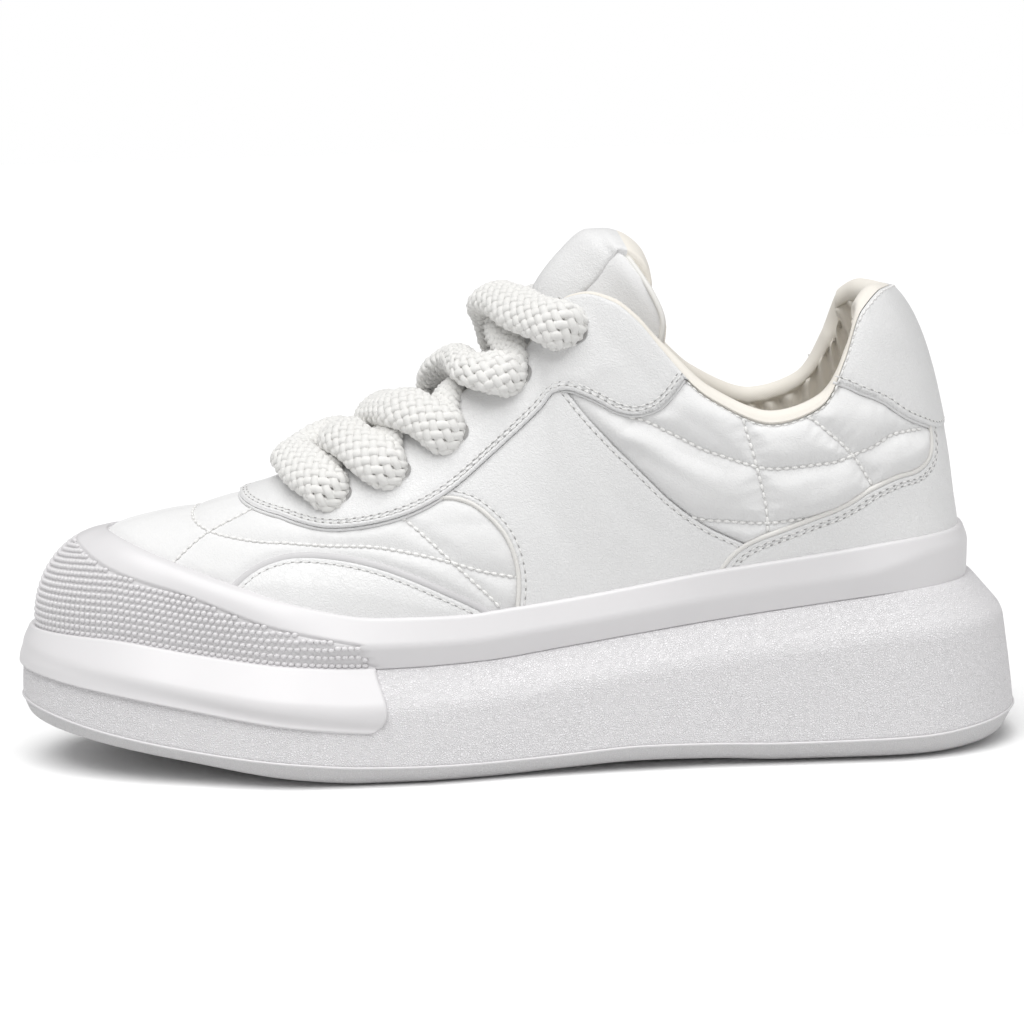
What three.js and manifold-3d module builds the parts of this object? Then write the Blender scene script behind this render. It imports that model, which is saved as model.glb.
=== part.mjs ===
// Platform sneaker, left foot. Millimetres. The toe points along -X, the outer side
// of the foot faces -Y, the tread stands on Z = 0.
import * as THREE from "three";
import { mergeVertices } from "three/addons/utils/BufferGeometryUtils.js";
import Module from "manifold-3d";

const wasm = await Module();
wasm.setup();

// ---- driving sizes

const soleLength = 290;
const halfLength = soleLength / 2;
const gap = 0.3; // between pieces that are glued or sewn together
const toeRound = { length: 88, power: 2.15 }; // plan of the toe
const heelRound = { length: 46, power: 2.3 }; // plan of the heel
const toeSwing = { from: -40, length: 105, across: 4, power: 1.5 }; // the toe leans inwards
const wallThickness = { vamp: 2.4, collar: 5.6 };
const stations = 36; // steps along each side of the shoe
const rowsUp = 9; // steps from the feather edge to the top line
const leather = 1.3; // thickness of the leather overlays
const overlayGap = 0.6; // between an overlay and the upper
const softCorner = 0.8; // power of a padded section's rounding, 1 for a plain oval
const nudge = 2e-3; // step along the form over which its slopes are measured

// ---- small helpers

// A table is a list of column names and one row for each section.
function columns(names, rows) {
  const byName = {};
  names.forEach((name, k) => {
    byName[name] = rows.map((row) => row[k]);
  });
  return byName;
}

// A smooth curve through a column that never overshoots its values.
function smooth(xs, ys) {
  const last = xs.length - 1;
  const rise = xs.slice(1).map((x, k) => (ys[k + 1] - ys[k]) / (x - xs[k]));
  const slope = ys.map((y, k) => {
    if (k === 0) return rise[0];
    if (k === last) return rise[last - 1];
    if (rise[k - 1] * rise[k] <= 0) return 0;
    const before = xs[k] - xs[k - 1];
    const after = xs[k + 1] - xs[k];
    const a = 2 * after + before;
    const b = after + 2 * before;
    return (a + b) / (a / rise[k - 1] + b / rise[k]);
  });
  return (value) => {
    const x = clamp(value, xs[0], xs[last]);
    let k = 0;
    while (k < last - 1 && x > xs[k + 1]) k += 1;
    const h = xs[k + 1] - xs[k];
    const s = (x - xs[k]) / h;
    const r = 1 - s;
    return (1 + 2 * s) * r * r * ys[k] + s * r * r * h * slope[k]
      + s * s * (3 - 2 * s) * ys[k + 1] - s * s * r * h * slope[k + 1];
  };
}

const clamp = (v, low = 0, high = 1) => Math.min(high, Math.max(low, v));
const mix = (a, b, s) => a + (b - a) * s;
const ease = (s) => clamp(s) ** 2 * (3 - 2 * clamp(s));
const point = (x, y, z) => new THREE.Vector3(x, y, z);
const moved = (p, direction, distance) => p.clone().addScaledVector(direction, distance);
const steps = (count) => Array.from({ length: count + 1 }, (_, k) => k / count);

// Collects faces by their corner points and becomes one closed body.
function faceList() {
  const flat = [];
  const triangle = (a, b, c) => {
    for (const p of [a, b, c]) flat.push(p.x, p.y, p.z);
  };
  const quad = (a, b, c, d) => {
    if (a.distanceTo(c) <= b.distanceTo(d)) {
      triangle(a, b, c);
      triangle(a, c, d);
    } else {
      triangle(a, b, d);
      triangle(b, c, d);
    }
  };
  // A sheet between neighbouring rows of points; flip turns its face over.
  const sheet = (rows, flip = false) => {
    for (let i = 0; i + 1 < rows.length; i += 1) {
      for (let j = 0; j + 1 < rows[i].length; j += 1) {
        const corners = [rows[i][j], rows[i + 1][j], rows[i + 1][j + 1], rows[i][j + 1]];
        quad(...(flip ? corners.reverse() : corners));
      }
    }
  };
  const geometry = () => {
    const raw = new THREE.BufferGeometry();
    raw.setAttribute("position", new THREE.Float32BufferAttribute(flat, 3));
    return dropSlivers(mergeVertices(raw, 1e-3));
  };
  return { triangle, quad, sheet, geometry };
}

// Faces with two corners in the same place are left out.
function dropSlivers(merged) {
  const from = merged.index.array;
  const kept = [];
  for (let k = 0; k < from.length; k += 3) {
    const [a, b, c] = [from[k], from[k + 1], from[k + 2]];
    if (a !== b && b !== c && c !== a) kept.push(a, b, c);
  }
  merged.setIndex(kept);
  return merged;
}

function toSolid(geometry) {
  const bare = geometry.clone();
  for (const name of Object.keys(bare.attributes)) {
    if (name !== "position") bare.deleteAttribute(name);
  }
  const merged = dropSlivers(mergeVertices(bare, 1e-4));
  const vertProperties = new Float32Array(merged.attributes.position.array);
  const triVerts = new Uint32Array(merged.index.array);
  return new wasm.Manifold(new wasm.Mesh({ numProp: 3, vertProperties, triVerts }));
}

function fromSolid(solid) {
  const mesh = solid.getMesh();
  const geometry = new THREE.BufferGeometry();
  geometry.setAttribute("position", new THREE.Float32BufferAttribute(mesh.vertProperties, 3));
  geometry.setIndex(Array.from(mesh.triVerts));
  return geometry;
}

function cut(geometry, tools) {
  return fromSolid(tools.reduce((body, tool) => body.subtract(toSolid(tool)), toSolid(geometry)));
}

// Joins bodies that touch. A pocket shut in between them is filled, so only the outer shell stays.
function join(geometries) {
  const whole = geometries.map(toSolid).reduce((body, next) => body.add(next));
  const outerShell = whole.decompose().filter((body) => body.volume() > 0);
  return fromSolid(outerShell.reduce((body, next) => body.add(next)));
}

// ---- plan of the sole

const planWidth = columns(["x", "outer", "inner"], [
  [-145, 47, 50],
  [-100, 48, 51],
  [-60, 53.8, 53.2],
  [-30, 53, 50],
  [0, 48, 43],
  [30, 44.5, 40],
  [60, 43, 40.5],
  [100, 43.5, 43],
  [145, 43.5, 43.5],
]);
const halfWidth = {
  outer: smooth(planWidth.x, planWidth.outer),
  inner: smooth(planWidth.x, planWidth.inner),
};
const across = { outer: -1, inner: 1 };
const other = { outer: "inner", inner: "outer" };

const toeShare = (x) => clamp((toeRound.length - halfLength - x) / toeRound.length);
const heelShare = (x) => clamp((x - halfLength + heelRound.length) / heelRound.length);
const roundOff = (share, power) => clamp(1 - share ** power) ** (1 / power);
const endRound = (x) => roundOff(toeShare(x), toeRound.power) * roundOff(heelShare(x), heelRound.power);
const middle = (x) => toeSwing.across * clamp((toeSwing.from - x) / toeSwing.length) ** toeSwing.power;

// Each level of the bottom unit: where its toe and heel end, and how far its sides come in.
const levels = {
  ground: { toe: -128, heel: 131, inset: 11 },
  tread: { toe: -142, heel: 141.5, inset: 3.5 },
  rim: { toe: -143.8, heel: 145, inset: 0 },
  crease: { toe: -142.26, heel: 141.3, inset: 2.2 },
  shelf: { toe: -139.6, heel: 133.2, inset: 8.5 },
  feather: { toe: -133.5, heel: 129.6, inset: 12 },
};
const heights = columns(["x", "ground", "tread", "rim", "crease", "shelf"], [
  [-145, 11.5, 15.0, 20.0, 33.0, 40.0],
  [-116, 8.2, 9.8, 13.6, 29.5, 39.4],
  [-90, 4.6, 5.8, 9.6, 26.0, 36.0],
  [-62, 1.2, 2.0, 7.0, 23.0, 33.0],
  [-44, 0.0, 0.6, 5.6, 21.6, 32.1],
  [-10, 0.0, 0.5, 5.0, 23.0, 32.8],
  [12, 1.0, 1.4, 5.8, 25.5, 35.2],
  [35, 1.7, 2.3, 7.0, 28.6, 38.2],
  [56, 0.8, 2.0, 6.7, 30.8, 41.0],
  [74, 0.0, 1.2, 6.2, 32.6, 43.3],
  [112, 0.0, 1.2, 6.6, 36.2, 47.2],
  [145, 0.8, 2.6, 9.4, 37.6, 48.3],
]);
const heightOf = {};
for (const name of ["ground", "tread", "rim", "crease", "shelf"]) {
  heightOf[name] = smooth(heights.x, heights[name]);
}
heightOf.feather = (x) => heightOf.shelf(x) + gap;

// Stations run from the toe, 0, to the heel, 1, closer together at both ends.
const stationX = (w) => -halfLength * Math.cos(Math.PI * w);
const stationAt = (x) => Math.acos(clamp(-x / halfLength, -1, 1)) / Math.PI;

function outline(level, w, side, inwards = 0) {
  const { toe, heel, inset } = levels[level];
  const x = stationX(w);
  const reach = (halfWidth[side](x) - inset - inwards) * endRound(x);
  const toeEnd = (toe + halfLength + inwards) * toeShare(x);
  const heelEnd = (heel - halfLength - inwards) * heelShare(x);
  const along = x + toeEnd + heelEnd;
  return point(along, middle(x) + across[side] * reach, heightOf[level](along));
}

// The ring of a level runs up one side and back down the other.
function ring(at, count = stations) {
  const up = steps(count).map((w) => at(w, "outer"));
  const back = steps(count).map((w) => at(w, "inner")).reverse();
  return [...up, ...back];
}

// A stack of rings, closed underneath and on top by strips from side to side.
function stackRings(rings) {
  const faces = faceList();
  faces.sheet(rings.map((r) => [...r].reverse()), false);
  const strip = (r, flip) => {
    const half = r.length / 2;
    const rows = steps(half - 1).map((_, k) => [r[k], r[r.length - 1 - k]]);
    faces.sheet(rows, flip);
  };
  strip(rings[0], true);
  strip(rings[rings.length - 1], false);
  return faces.geometry();
}

// ---- outsole

const lug = { pitch: 11, groove: 3, depth: 1.8, edge: 7, from: -118, to: 128 };
const flatPads = [{ from: -47, to: -8 }, { from: 71, to: 114 }]; // left whole, they carry the shoe

function outsole() {
  const rings = [
    ring((w, side) => outline("ground", w, side)),
    ring((w, side) => outline("tread", w, side)),
    ring((w, side) => outline("rim", w, side)),
  ];
  const grooves = [];
  for (let x = lug.from; x <= lug.to; x += lug.pitch) {
    if (flatPads.some((pad) => x > pad.from && x < pad.to)) continue;
    const sides = halfWidth.outer(x) + halfWidth.inner(x);
    const length = sides * endRound(x) - 2 * (levels.ground.inset + lug.edge);
    const groove = new THREE.BoxGeometry(lug.groove, length, lug.depth * 2);
    groove.translate(x, middle(x), heightOf.ground(x));
    grooves.push(groove);
  }
  return cut(stackRings(rings), grooves);
}

// ---- midsole: the platform body

function midsole() {
  const lifted = (w, side) => {
    const p = outline("rim", w, side);
    p.z += gap;
    return p;
  };
  return stackRings([
    ring(lifted),
    ring((w, side) => outline("crease", w, side)),
    ring((w, side) => outline("shelf", w, side)),
  ]);
}

// ---- upper: its outer form

// One row for each line up the side: where its top lies, and how the line leaves both ends.
const sideLines = columns(["at", "x", "y", "z", "rise", "swell", "reach", "drop"], [
  [-145, -112, 0, 68.0, 14, 2, 14, 0],
  [-138, -110.5, 0, 68.4, 14, 2, 14, 0],
  [-125, -107.5, 0, 69.1, 14, 2, 18, 0],
  [-108, -100.5, 0, 70.6, 15, 2, 22, 0],
  [-88, -89, 0, 73.1, 15, 2, 24, 0],
  [-68, -74, 0, 77.0, 15, 2, 24, 0],
  [-55, -63, 0, 80.5, 16, 2, 23, 0],
  [-45, -54, 10, 84, 17, 2, 17, 6],
  [-28, -33, 14, 93, 20, 2, 15, 10],
  [-8, -10, 15.5, 105.5, 25, 2, 13, 14],
  [10, 10, 17.5, 119.5, 29, 2, 12, 20],
  [22, 20.5, 20.5, 130.5, 30, 2, 11, 26],
  [32, 30, 24.5, 130, 30, 2, 9, 28],
  [44, 42.5, 29, 118.5, 26, 2.5, 6, 24],
  [58, 56, 33, 105, 20, 3, 4.5, 18],
  [74, 73, 34.5, 97.7, 18, 3.5, 4, 16],
  [90, 87, 32.5, 102, 20, 3, 5, 15],
  [106, 94.5, 28, 114.5, 25, 1, 7, 14],
  [122, 99.5, 22.5, 127.5, 29, -1, 9, 12],
  [136, 105, 13, 131.5, 30, -2, 12, 10],
  [145, 109, 0, 131, 30, -2.5, 14.5, 9],
]);
const sideLineAt = sideLines.at.map(stationAt);
const sideLine = {};
for (const name of ["x", "y", "z", "rise", "swell", "reach", "drop"]) {
  sideLine[name] = smooth(sideLineAt, sideLines[name]);
}
const ridge = columns(["x", "slope"], [
  [-112, 0.14],
  [-89, 0.19],
  [-63, 0.3],
]);
const ridgeSlope = smooth(ridge.x, ridge.slope); // of the vamp's centre line
const throatFront = { at: -55, x: -63, blend: 9 }; // the lines past it end at the throat or collar
const throatRow = Math.round(stationAt(throatFront.at) * stations);
const throatW = throatRow / stations;

function topPoint(w, side) {
  const x = sideLine.x(w);
  const spread = w <= throatW ? 0 : sideLine.y(w);
  return point(x, middle(x) + across[side] * spread, sideLine.z(w));
}

function planNormal(w, side) {
  const a = outline("feather", Math.max(0, w - nudge / 2), side);
  const b = outline("feather", Math.min(1, w + nudge / 2), side);
  return point(b.y - a.y, a.x - b.x, 0).multiplyScalar(-across[side]).normalize();
}

// A point of the outer form: w along the shoe, t from the feather edge, 0, to the top line, 1.
function upperPoint(w, t, side) {
  if (w < 0) return upperPoint(-w, t, other[side]);
  if (w > 1) return upperPoint(2 - w, t, other[side]);
  const base = outline("feather", w, side);
  const top = topPoint(w, side);
  const out = planNormal(w, side);
  const reach = sideLine.reach(w);
  const onRidge = clamp((throatFront.x + throatFront.blend - top.x) / throatFront.blend);
  const lean = out.x * reach * ridgeSlope(top.x) * onRidge - sideLine.drop(w);
  const low = moved(base, out, sideLine.swell(w)).add(point(0, 0, sideLine.rise(w)));
  const high = moved(top, out, reach).add(point(0, 0, lean));
  const s = 1 - t;
  return base.multiplyScalar(s * s * s)
    .addScaledVector(low, 3 * s * s * t)
    .addScaledVector(high, 3 * s * t * t)
    .addScaledVector(top, t * t * t);
}

function upperNormal(w, t, side) {
  if (t === 1 && w <= throatW) {
    return point(-ridgeSlope(sideLine.x(w)), 0, 1).normalize();
  }
  const along = upperPoint(w + nudge, t, side).sub(upperPoint(w - nudge, t, side));
  const up = upperPoint(w, Math.min(1, t + nudge), side).sub(upperPoint(w, Math.max(0, t - nudge), side));
  return along.cross(up).multiplyScalar(-across[side]).normalize();
}

const offUpper = (w, t, side, distance) => moved(upperPoint(w, t, side), upperNormal(w, t, side), distance);

// The wall is thin over the foot and padded round the collar.
const padding = { from: 26, length: 26, startsAt: 0.35, over: 0.5 };

function wallAt(w, t) {
  const nearCollar = ease((stationX(w) - padding.from) / padding.length);
  const padded = mix(wallThickness.vamp, wallThickness.collar, nearCollar);
  return mix(wallThickness.vamp, padded, ease((t - padding.startsAt) / padding.over));
}

// ---- upper: lace holes

const laceHole = { radius: 2.6, length: 24, sides: 8 };
const laceHoles = columns(["x", "t"], [
  [-39.6, 0.731],
  [-26.9, 0.763],
  [-11.6, 0.791],
  [5.1, 0.838],
  [22.2, 0.836],
]);

function holeCutters() {
  const cutters = [];
  for (const side of ["outer", "inner"]) {
    laceHoles.x.forEach((x, k) => {
      const w = stationAt(x);
      const { radius, length, sides } = laceHole;
      const cutter = new THREE.CylinderGeometry(radius, radius, length, sides);
      const turn = new THREE.Quaternion();
      turn.setFromUnitVectors(point(0, 1, 0), upperNormal(w, laceHoles.t[k], side));
      cutter.applyQuaternion(turn);
      cutter.translate(...upperPoint(w, laceHoles.t[k], side).toArray());
      cutters.push(cutter);
    });
  }
  return cutters;
}

function upper() {
  const faces = faceList();
  for (const side of ["outer", "inner"]) {
    const mirrored = side === "inner"; // its sheets run the other way round
    const skin = (off) => steps(stations).map((w) => steps(rowsUp).map((t) => {
      const p = upperPoint(w, t, side);
      if (off) {
        const n = upperNormal(w, t, side);
        if (t === 0) n.setZ(0).normalize();
        p.addScaledVector(n, -wallAt(w, t));
      }
      if (w === 0 || w === 1) p.y = middle(p.x);
      if (t === 1 && w <= throatW) p.y = middle(p.x);
      return p;
    }));
    const outside = skin(false);
    const inside = skin(true);
    faces.sheet(outside, mirrored);
    faces.sheet(inside, !mirrored);
    faces.sheet(outside.map((row, k) => [inside[k][0], row[0]]), mirrored);
    const topRows = outside.slice(throatRow).map((row, k) => [row[rowsUp], inside[k + throatRow][rowsUp]]);
    faces.sheet(topRows, mirrored);
  }
  return cut(faces.geometry(), holeCutters());
}

// ---- sidewall: foxing band and toe cap in one moulding

const bandTop = columns(["x", "z"], [
  [-118.4, 67.6],
  [-98.5, 60.5],
  [-76, 53.4],
  [-61, 49.0],
  [-39, 45.6],
  [-17, 45.5],
  [0, 47.0],
  [20, 49.4],
  [35, 51.7],
  [57, 55.3],
  [85, 58.9],
  [110, 61.6],
  [131, 62.6],
]);
const bandTopHeight = smooth(bandTop.x, bandTop.z);
const bandProud = 2.0; // how far its top edge stands off the upper
const bandGap = 0.5; // behind it, so that the faceted faces stay apart
const bandRows = 5;
// Where the band's face bends, as shares of its height and of its lean.
const bandCurve = { lowRise: 0.5, lowOut: 0.02, highOut: 0.62, highDrop: 0.03 };
const halvings = 30; // of the span in which the band's end is looked for

// The share of the way up the upper at which the band ends.
function bandEnd(w, side) {
  let low = 0;
  let high = 1;
  for (let k = 0; k < halvings; k += 1) {
    const t = (low + high) / 2;
    const p = upperPoint(w, t, side);
    if (p.z < bandTopHeight(p.x)) low = t;
    else high = t;
  }
  return (low + high) / 2;
}

// Section of the band's outer face: straight up from the shelf, then leaning in to the upper.
function bandFace(w, side, s) {
  const end = bandEnd(w, side);
  const foot = outline("shelf", w, side);
  foot.z += gap;
  const lip = offUpper(w, end, side, gap + bandProud);
  const out = planNormal(w, side);
  const tall = lip.z - foot.z;
  const lean = Math.hypot(lip.x - foot.x, lip.y - foot.y);
  const low = moved(foot, out, bandCurve.lowOut * tall);
  low.z += bandCurve.lowRise * tall;
  const high = moved(lip, out, bandCurve.highOut * lean);
  high.z -= bandCurve.highDrop * tall;
  const r = 1 - s;
  return foot.multiplyScalar(r * r * r)
    .addScaledVector(low, 3 * r * r * s)
    .addScaledVector(high, 3 * r * s * s)
    .addScaledVector(lip, s * s * s);
}

function sidewall() {
  const faces = faceList();
  const closeRing = (at) => {
    const r = ring(at);
    return [...r, r[0]];
  };
  const inner = (share) => closeRing((w, side) => {
    const p = offUpper(w, bandEnd(w, side) * share, side, bandGap);
    if (share === 0) p.z = heightOf.shelf(p.x) + gap;
    if (w === 0 || w === 1) p.y = middle(p.x);
    return p;
  });
  const outer = (s) => closeRing((w, side) => {
    const p = bandFace(w, side, s);
    if (w === 0 || w === 1) p.y = middle(p.x);
    return p;
  });
  const shares = steps(bandRows);
  const rings = [...shares.map(outer), ...shares.map(inner).reverse()];
  rings.push(rings[0]);
  faces.sheet(rings.map((r) => [...r].reverse()));
  return faces.geometry();
}

// ---- toe bumper: a raised strip round the front of the platform

const bumper = { end: -40, proud: 2.3, edge: 1.2, rise: 1.2, nearTop: 0.96 };
const bumperFeet = columns(["x", "z"], [
  [-145, 29.5],
  [-116, 25.2],
  [-90, 21.2],
  [-62, 17.2],
  [-44, 15.4],
]);
const bumperFoot = smooth(bumperFeet.x, bumperFeet.z);

function bumperSection(w, side, off, edge) {
  const out = planNormal(w, side);
  const shelf = outline("shelf", w, side);
  const crease = outline("crease", w, side);
  const rim = outline("rim", w, side);
  const footZ = bumperFoot(stationX(w));
  const foot = rim.lerp(crease, (footZ - rim.z) / (crease.z - rim.z));
  const nearTop = crease.clone().lerp(shelf, bumper.nearTop);
  return [
    moved(foot, out, edge),
    moved(foot, out, off).setZ(foot.z + bumper.rise),
    moved(crease, out, off),
    moved(nearTop, out, edge),
  ];
}

function toeBumper() {
  const faces = faceList();
  const count = Math.round(stationAt(bumper.end) * stations);
  const walk = [];
  for (let k = -count; k <= count; k += 1) {
    walk.push({ w: Math.abs(k) / stations, side: k < 0 ? "inner" : "outer" });
  }
  const wrap = walk.map(({ w, side }) => {
    const face = bumperSection(w, side, bumper.proud, bumper.edge);
    const back = bumperSection(w, side, gap, gap).reverse();
    const loop = [...face, ...back];
    if (w === 0) loop.forEach((p) => { p.y = middle(p.x); });
    return [...loop, loop[0]];
  });
  faces.sheet(wrap);
  const close = (loop, flip) => {
    const last = loop.length - 2; // the loop's final point repeats its first
    for (let k = 0; 2 * k < last - 1; k += 1) {
      const corners = [loop[k], loop[k + 1], loop[last - 1 - k], loop[last - k]];
      faces.quad(...(flip ? corners.reverse() : corners));
    }
  };
  close(wrap[0], false);
  close(wrap[wrap.length - 1], true);
  return faces.geometry();
}

// ---- leather overlays that stand on the upper

// A patch of the outer form between two heights, lifted by the gap and one leather thick.
function overlay(walk, low, high, count) {
  const faces = faceList();
  const skin = (off) => walk.map(({ w, side }) => steps(count).map((s) => {
    const t = mix(low(w, side), high(w, side), s);
    const p = offUpper(w, t, side, off);
    if (w === 0 || w === 1) p.y = middle(p.x);
    return p;
  }));
  const under = skin(overlayGap);
  const over = skin(overlayGap + leather);
  faces.sheet(over, true);
  faces.sheet(under, false);
  faces.sheet(over.map((row, k) => [row[0], under[k][0]]), false);
  faces.sheet(over.map((row, k) => [row[count], under[k][count]]), true);
  faces.sheet([over[0], under[0]], false);
  faces.sheet([over[walk.length - 1], under[walk.length - 1]], true);
  return faces.geometry();
}

const eyestayFeet = columns(["w", "t"], [
  [0.333, 0.97],
  [0.358, 0.725],
  [0.399, 0.614],
  [0.436, 0.584],
  [0.461, 0.608],
  [0.495, 0.692],
  [0.523, 0.739],
  [0.545, 0.69],
  [0.58, 0.657],
  [0.6, 0.8],
  [0.615, 0.96],
]);
const eyestayEdge = smooth(eyestayFeet.w, eyestayFeet.t);
const eyestaySpan = { from: 1 / 3, to: 11 / 18, steps: 20, rows: 3 };
const eyestayTop = { ridge: 0.985, collar: 0.995 };

// One half of the lace facing; the two halves share the seam at the front of the throat.
function eyestayHalf(side) {
  const walk = steps(eyestaySpan.steps).map((s) => ({ w: mix(eyestaySpan.from, eyestaySpan.to, s), side }));
  const top = (w) => (w <= throatW ? eyestayTop.ridge : eyestayTop.collar);
  const patch = overlay(walk, eyestayEdge, top, eyestaySpan.rows);
  return cut(side === "outer" ? turned(patch) : patch, holeCutters());
}

// The same faces seen from the other side.
function turned(geometry) {
  const corners = geometry.index.array;
  for (let k = 0; k < corners.length; k += 3) {
    [corners[k + 1], corners[k + 2]] = [corners[k + 2], corners[k + 1]];
  }
  return geometry;
}

const heelTab = { from: 0.735, steps: 7, top: 0.99, rows: 4 };
const heelTabFeet = columns(["w", "t"], [
  [0.735, 0.93],
  [0.768, 0.748],
  [0.819, 0.544],
  [0.858, 0.465],
  [0.895, 0.434],
  [1, 0.43],
]);
const heelTabFoot = smooth(heelTabFeet.w, heelTabFeet.t);

function heelTabPatch() {
  const walk = [];
  for (let k = -heelTab.steps; k <= heelTab.steps; k += 1) {
    const w = mix(1, heelTab.from, Math.abs(k) / heelTab.steps);
    walk.push({ w, side: k < 0 ? "inner" : "outer" });
  }
  return overlay(walk, heelTabFoot, () => heelTab.top, heelTab.rows);
}

// ---- tongue

// Rows up the tongue: centre of its face, half width, how far its edges curl back, thickness.
const tongueRows = columns(["x", "z", "half", "curl", "thick", "lean"], [
  [-68, 75.0, 11, 2.8, 3, 0.30],
  [-57, 79.0, 12.5, 3.6, 3.5, 0.36],
  [-44.7, 84, 15, 4.6, 4, 0.40],
  [-31.4, 89.9, 18, 6.4, 4.5, 0.48],
  [-19.5, 96.7, 19, 8.6, 5, 0.55],
  [-10.5, 103.8, 19.5, 12, 5.5, 0.62],
  [-3.0, 112.4, 20, 18, 6.5, 0.70],
  [3.0, 122.8, 20.5, 24, 8, 0.74],
  [8, 135, 20.5, 29, 9, 0.74],
  [16.7, 144.7, 21.5, 33.5, 9, 0.72],
  [23.4, 148.6, 22, 28.5, 9, 0.70],
  [27.2, 149.6, 19.5, 19, 7, 0.68],
  [29.6, 148.8, 13, 9, 3, 0.66],
]);
const tongueSides = 16;
const tongueCurl = 1.9; // power with which its edges curl back

// lean is the angle of each section from upright, in radians, towards the toe.
function tongueRing(k) {
  const { x, z, half, curl, thick, lean } = Object.fromEntries(
    Object.entries(tongueRows).map(([name, values]) => [name, values[k]]),
  );
  const out = point(-Math.sin(lean), 0, Math.cos(lean));
  return steps(tongueSides).slice(0, tongueSides).map((s) => {
    const angle = 2 * Math.PI * s;
    const u = Math.sign(Math.cos(angle)) * Math.abs(Math.cos(angle)) ** softCorner;
    const v = Math.sign(Math.sin(angle)) * Math.abs(Math.sin(angle)) ** softCorner;
    const depth = thick / 2 * (v - 1) - curl * Math.abs(u) ** tongueCurl;
    return moved(point(x, half * u, z), out, depth);
  });
}

// A tube of rings with a fan of faces at each end.
function tube(rings) {
  const faces = faceList();
  const closed = rings.map((r) => [...r, r[0]]);
  faces.sheet(closed, true);
  const cap = (r, flip) => {
    const centre = r.reduce((sum, p) => sum.add(p), point(0, 0, 0)).divideScalar(r.length);
    r.forEach((p, k) => {
      const next = r[(k + 1) % r.length];
      if (flip) faces.triangle(centre, next, p);
      else faces.triangle(centre, p, next);
    });
  };
  cap(rings[0], true);
  cap(rings[rings.length - 1], false);
  return faces.geometry();
}

function tongue() {
  return tube(tongueRows.x.map((_, k) => tongueRing(k)));
}

// ---- insole

const insoleThickness = 5;
const insoleGap = 0.8;
const insoleBevel = 1.5;

function insole() {
  const level = (lift, inwards) => ring((w, side) => {
    const n = planNormal(w, side);
    const p = outline("feather", w, side);
    p.addScaledVector(n, -(wallThickness.vamp + insoleGap + inwards));
    p.z = heightOf.shelf(p.x) + gap + lift;
    if (w === 0 || w === 1) p.y = middle(p.x);
    return p;
  });
  return stackRings([
    level(0, 0),
    level(insoleThickness - insoleBevel, 0),
    level(insoleThickness, insoleBevel),
  ]);
}

// ---- laces

const lace = {
  over: { wide: 14, thick: 7.5 },
  under: { wide: 11, thick: 4.5 },
  clear: 1.1, // over the leather
  pressed: 0.5, // where two strands cross
  tip: 0.6, // share of the width left at a hole
  steps: 8,
  sides: 8,
};
const overEdge = { t: 0.99, normalAt: 0.97, up: point(-0.5, 0, 0.9), rise: 1 }; // where a strand turns in
const overTongue = point(-0.5, 0, 0.85);
const overShift = { outer: -7, inner: 1 }; // along the shoe, between a hole and its strand's turn
const underShift = { outer: 1, inner: -4 };

// Middle of each over strand where it crosses the tongue.
const strandMiddles = columns(["x", "z"], [
  [-61.5, 87.8],
  [-49.0, 92.0],
  [-37.2, 99.2],
  [-14.5, 113.0],
  [-3.6, 130.6],
]);

function strand(route, { wide, thick }) {
  const path = new THREE.CatmullRomCurve3(route.map((stop) => stop.at));
  const ups = new THREE.CatmullRomCurve3(route.map((stop) => stop.up));
  const rings = steps(lace.steps).map((s) => {
    const centre = path.getPoint(s);
    const along = path.getTangent(s);
    const acrossIt = ups.getPoint(s).cross(along).normalize();
    const up = along.clone().cross(acrossIt).normalize();
    const end = s === 0 || s === 1 ? lace.tip : 1;
    return steps(lace.sides).slice(0, lace.sides).map((a) => {
      const angle = 2 * Math.PI * a;
      return centre.clone()
        .addScaledVector(acrossIt, end * wide / 2 * Math.cos(angle))
        .addScaledVector(up, end * thick / 2 * Math.sin(angle));
    });
  });
  return tube(rings);
}

function holeStop(k, side, lift) {
  const w = stationAt(laceHoles.x[k]);
  const up = upperNormal(w, laceHoles.t[k], side);
  return { at: moved(upperPoint(w, laceHoles.t[k], side), up, overlayGap + leather + lift), up };
}

function edgeStop(k, side, lift, shift) {
  const w = stationAt(laceHoles.x[k] + shift[side]);
  const up = upperNormal(w, overEdge.normalAt, side).add(overEdge.up).normalize();
  return { at: moved(upperPoint(w, overEdge.t, side), up, overlayGap + leather + lift), up };
}

function laces() {
  const up = overTongue;
  const strands = [];
  for (let k = 0; k < laceHoles.x.length; k += 1) {
    const far = Math.max(0, k - 1);
    const lift = lace.over.thick / 2 + lace.clear;
    const centre = point(strandMiddles.x[k], 0, strandMiddles.z[k]);
    strands.push(strand([
      holeStop(k, "outer", lift),
      edgeStop(k, "outer", lift + overEdge.rise, overShift),
      { at: centre, up },
      edgeStop(far, "inner", lift + overEdge.rise, overShift),
      holeStop(far, "inner", lift),
    ], lace.over));
  }
  // The strands that pass underneath cross the other way.
  for (let k = 1; k < laceHoles.x.length; k += 1) {
    const lift = lace.under.thick / 2 + lace.clear;
    const centre = point(strandMiddles.x[k], 0, strandMiddles.z[k]);
    const below = (lace.over.thick + lace.under.thick) / 2 - lace.pressed;
    strands.push(strand([
      holeStop(k - 1, "outer", lift),
      edgeStop(k - 1, "outer", lift, underShift),
      { at: moved(centre, up.clone().normalize(), -below), up },
      edgeStop(k, "inner", lift, underShift),
      holeStop(k, "inner", lift),
    ], lace.under));
  }
  return join(strands);
}

// ---- the assembly

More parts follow.
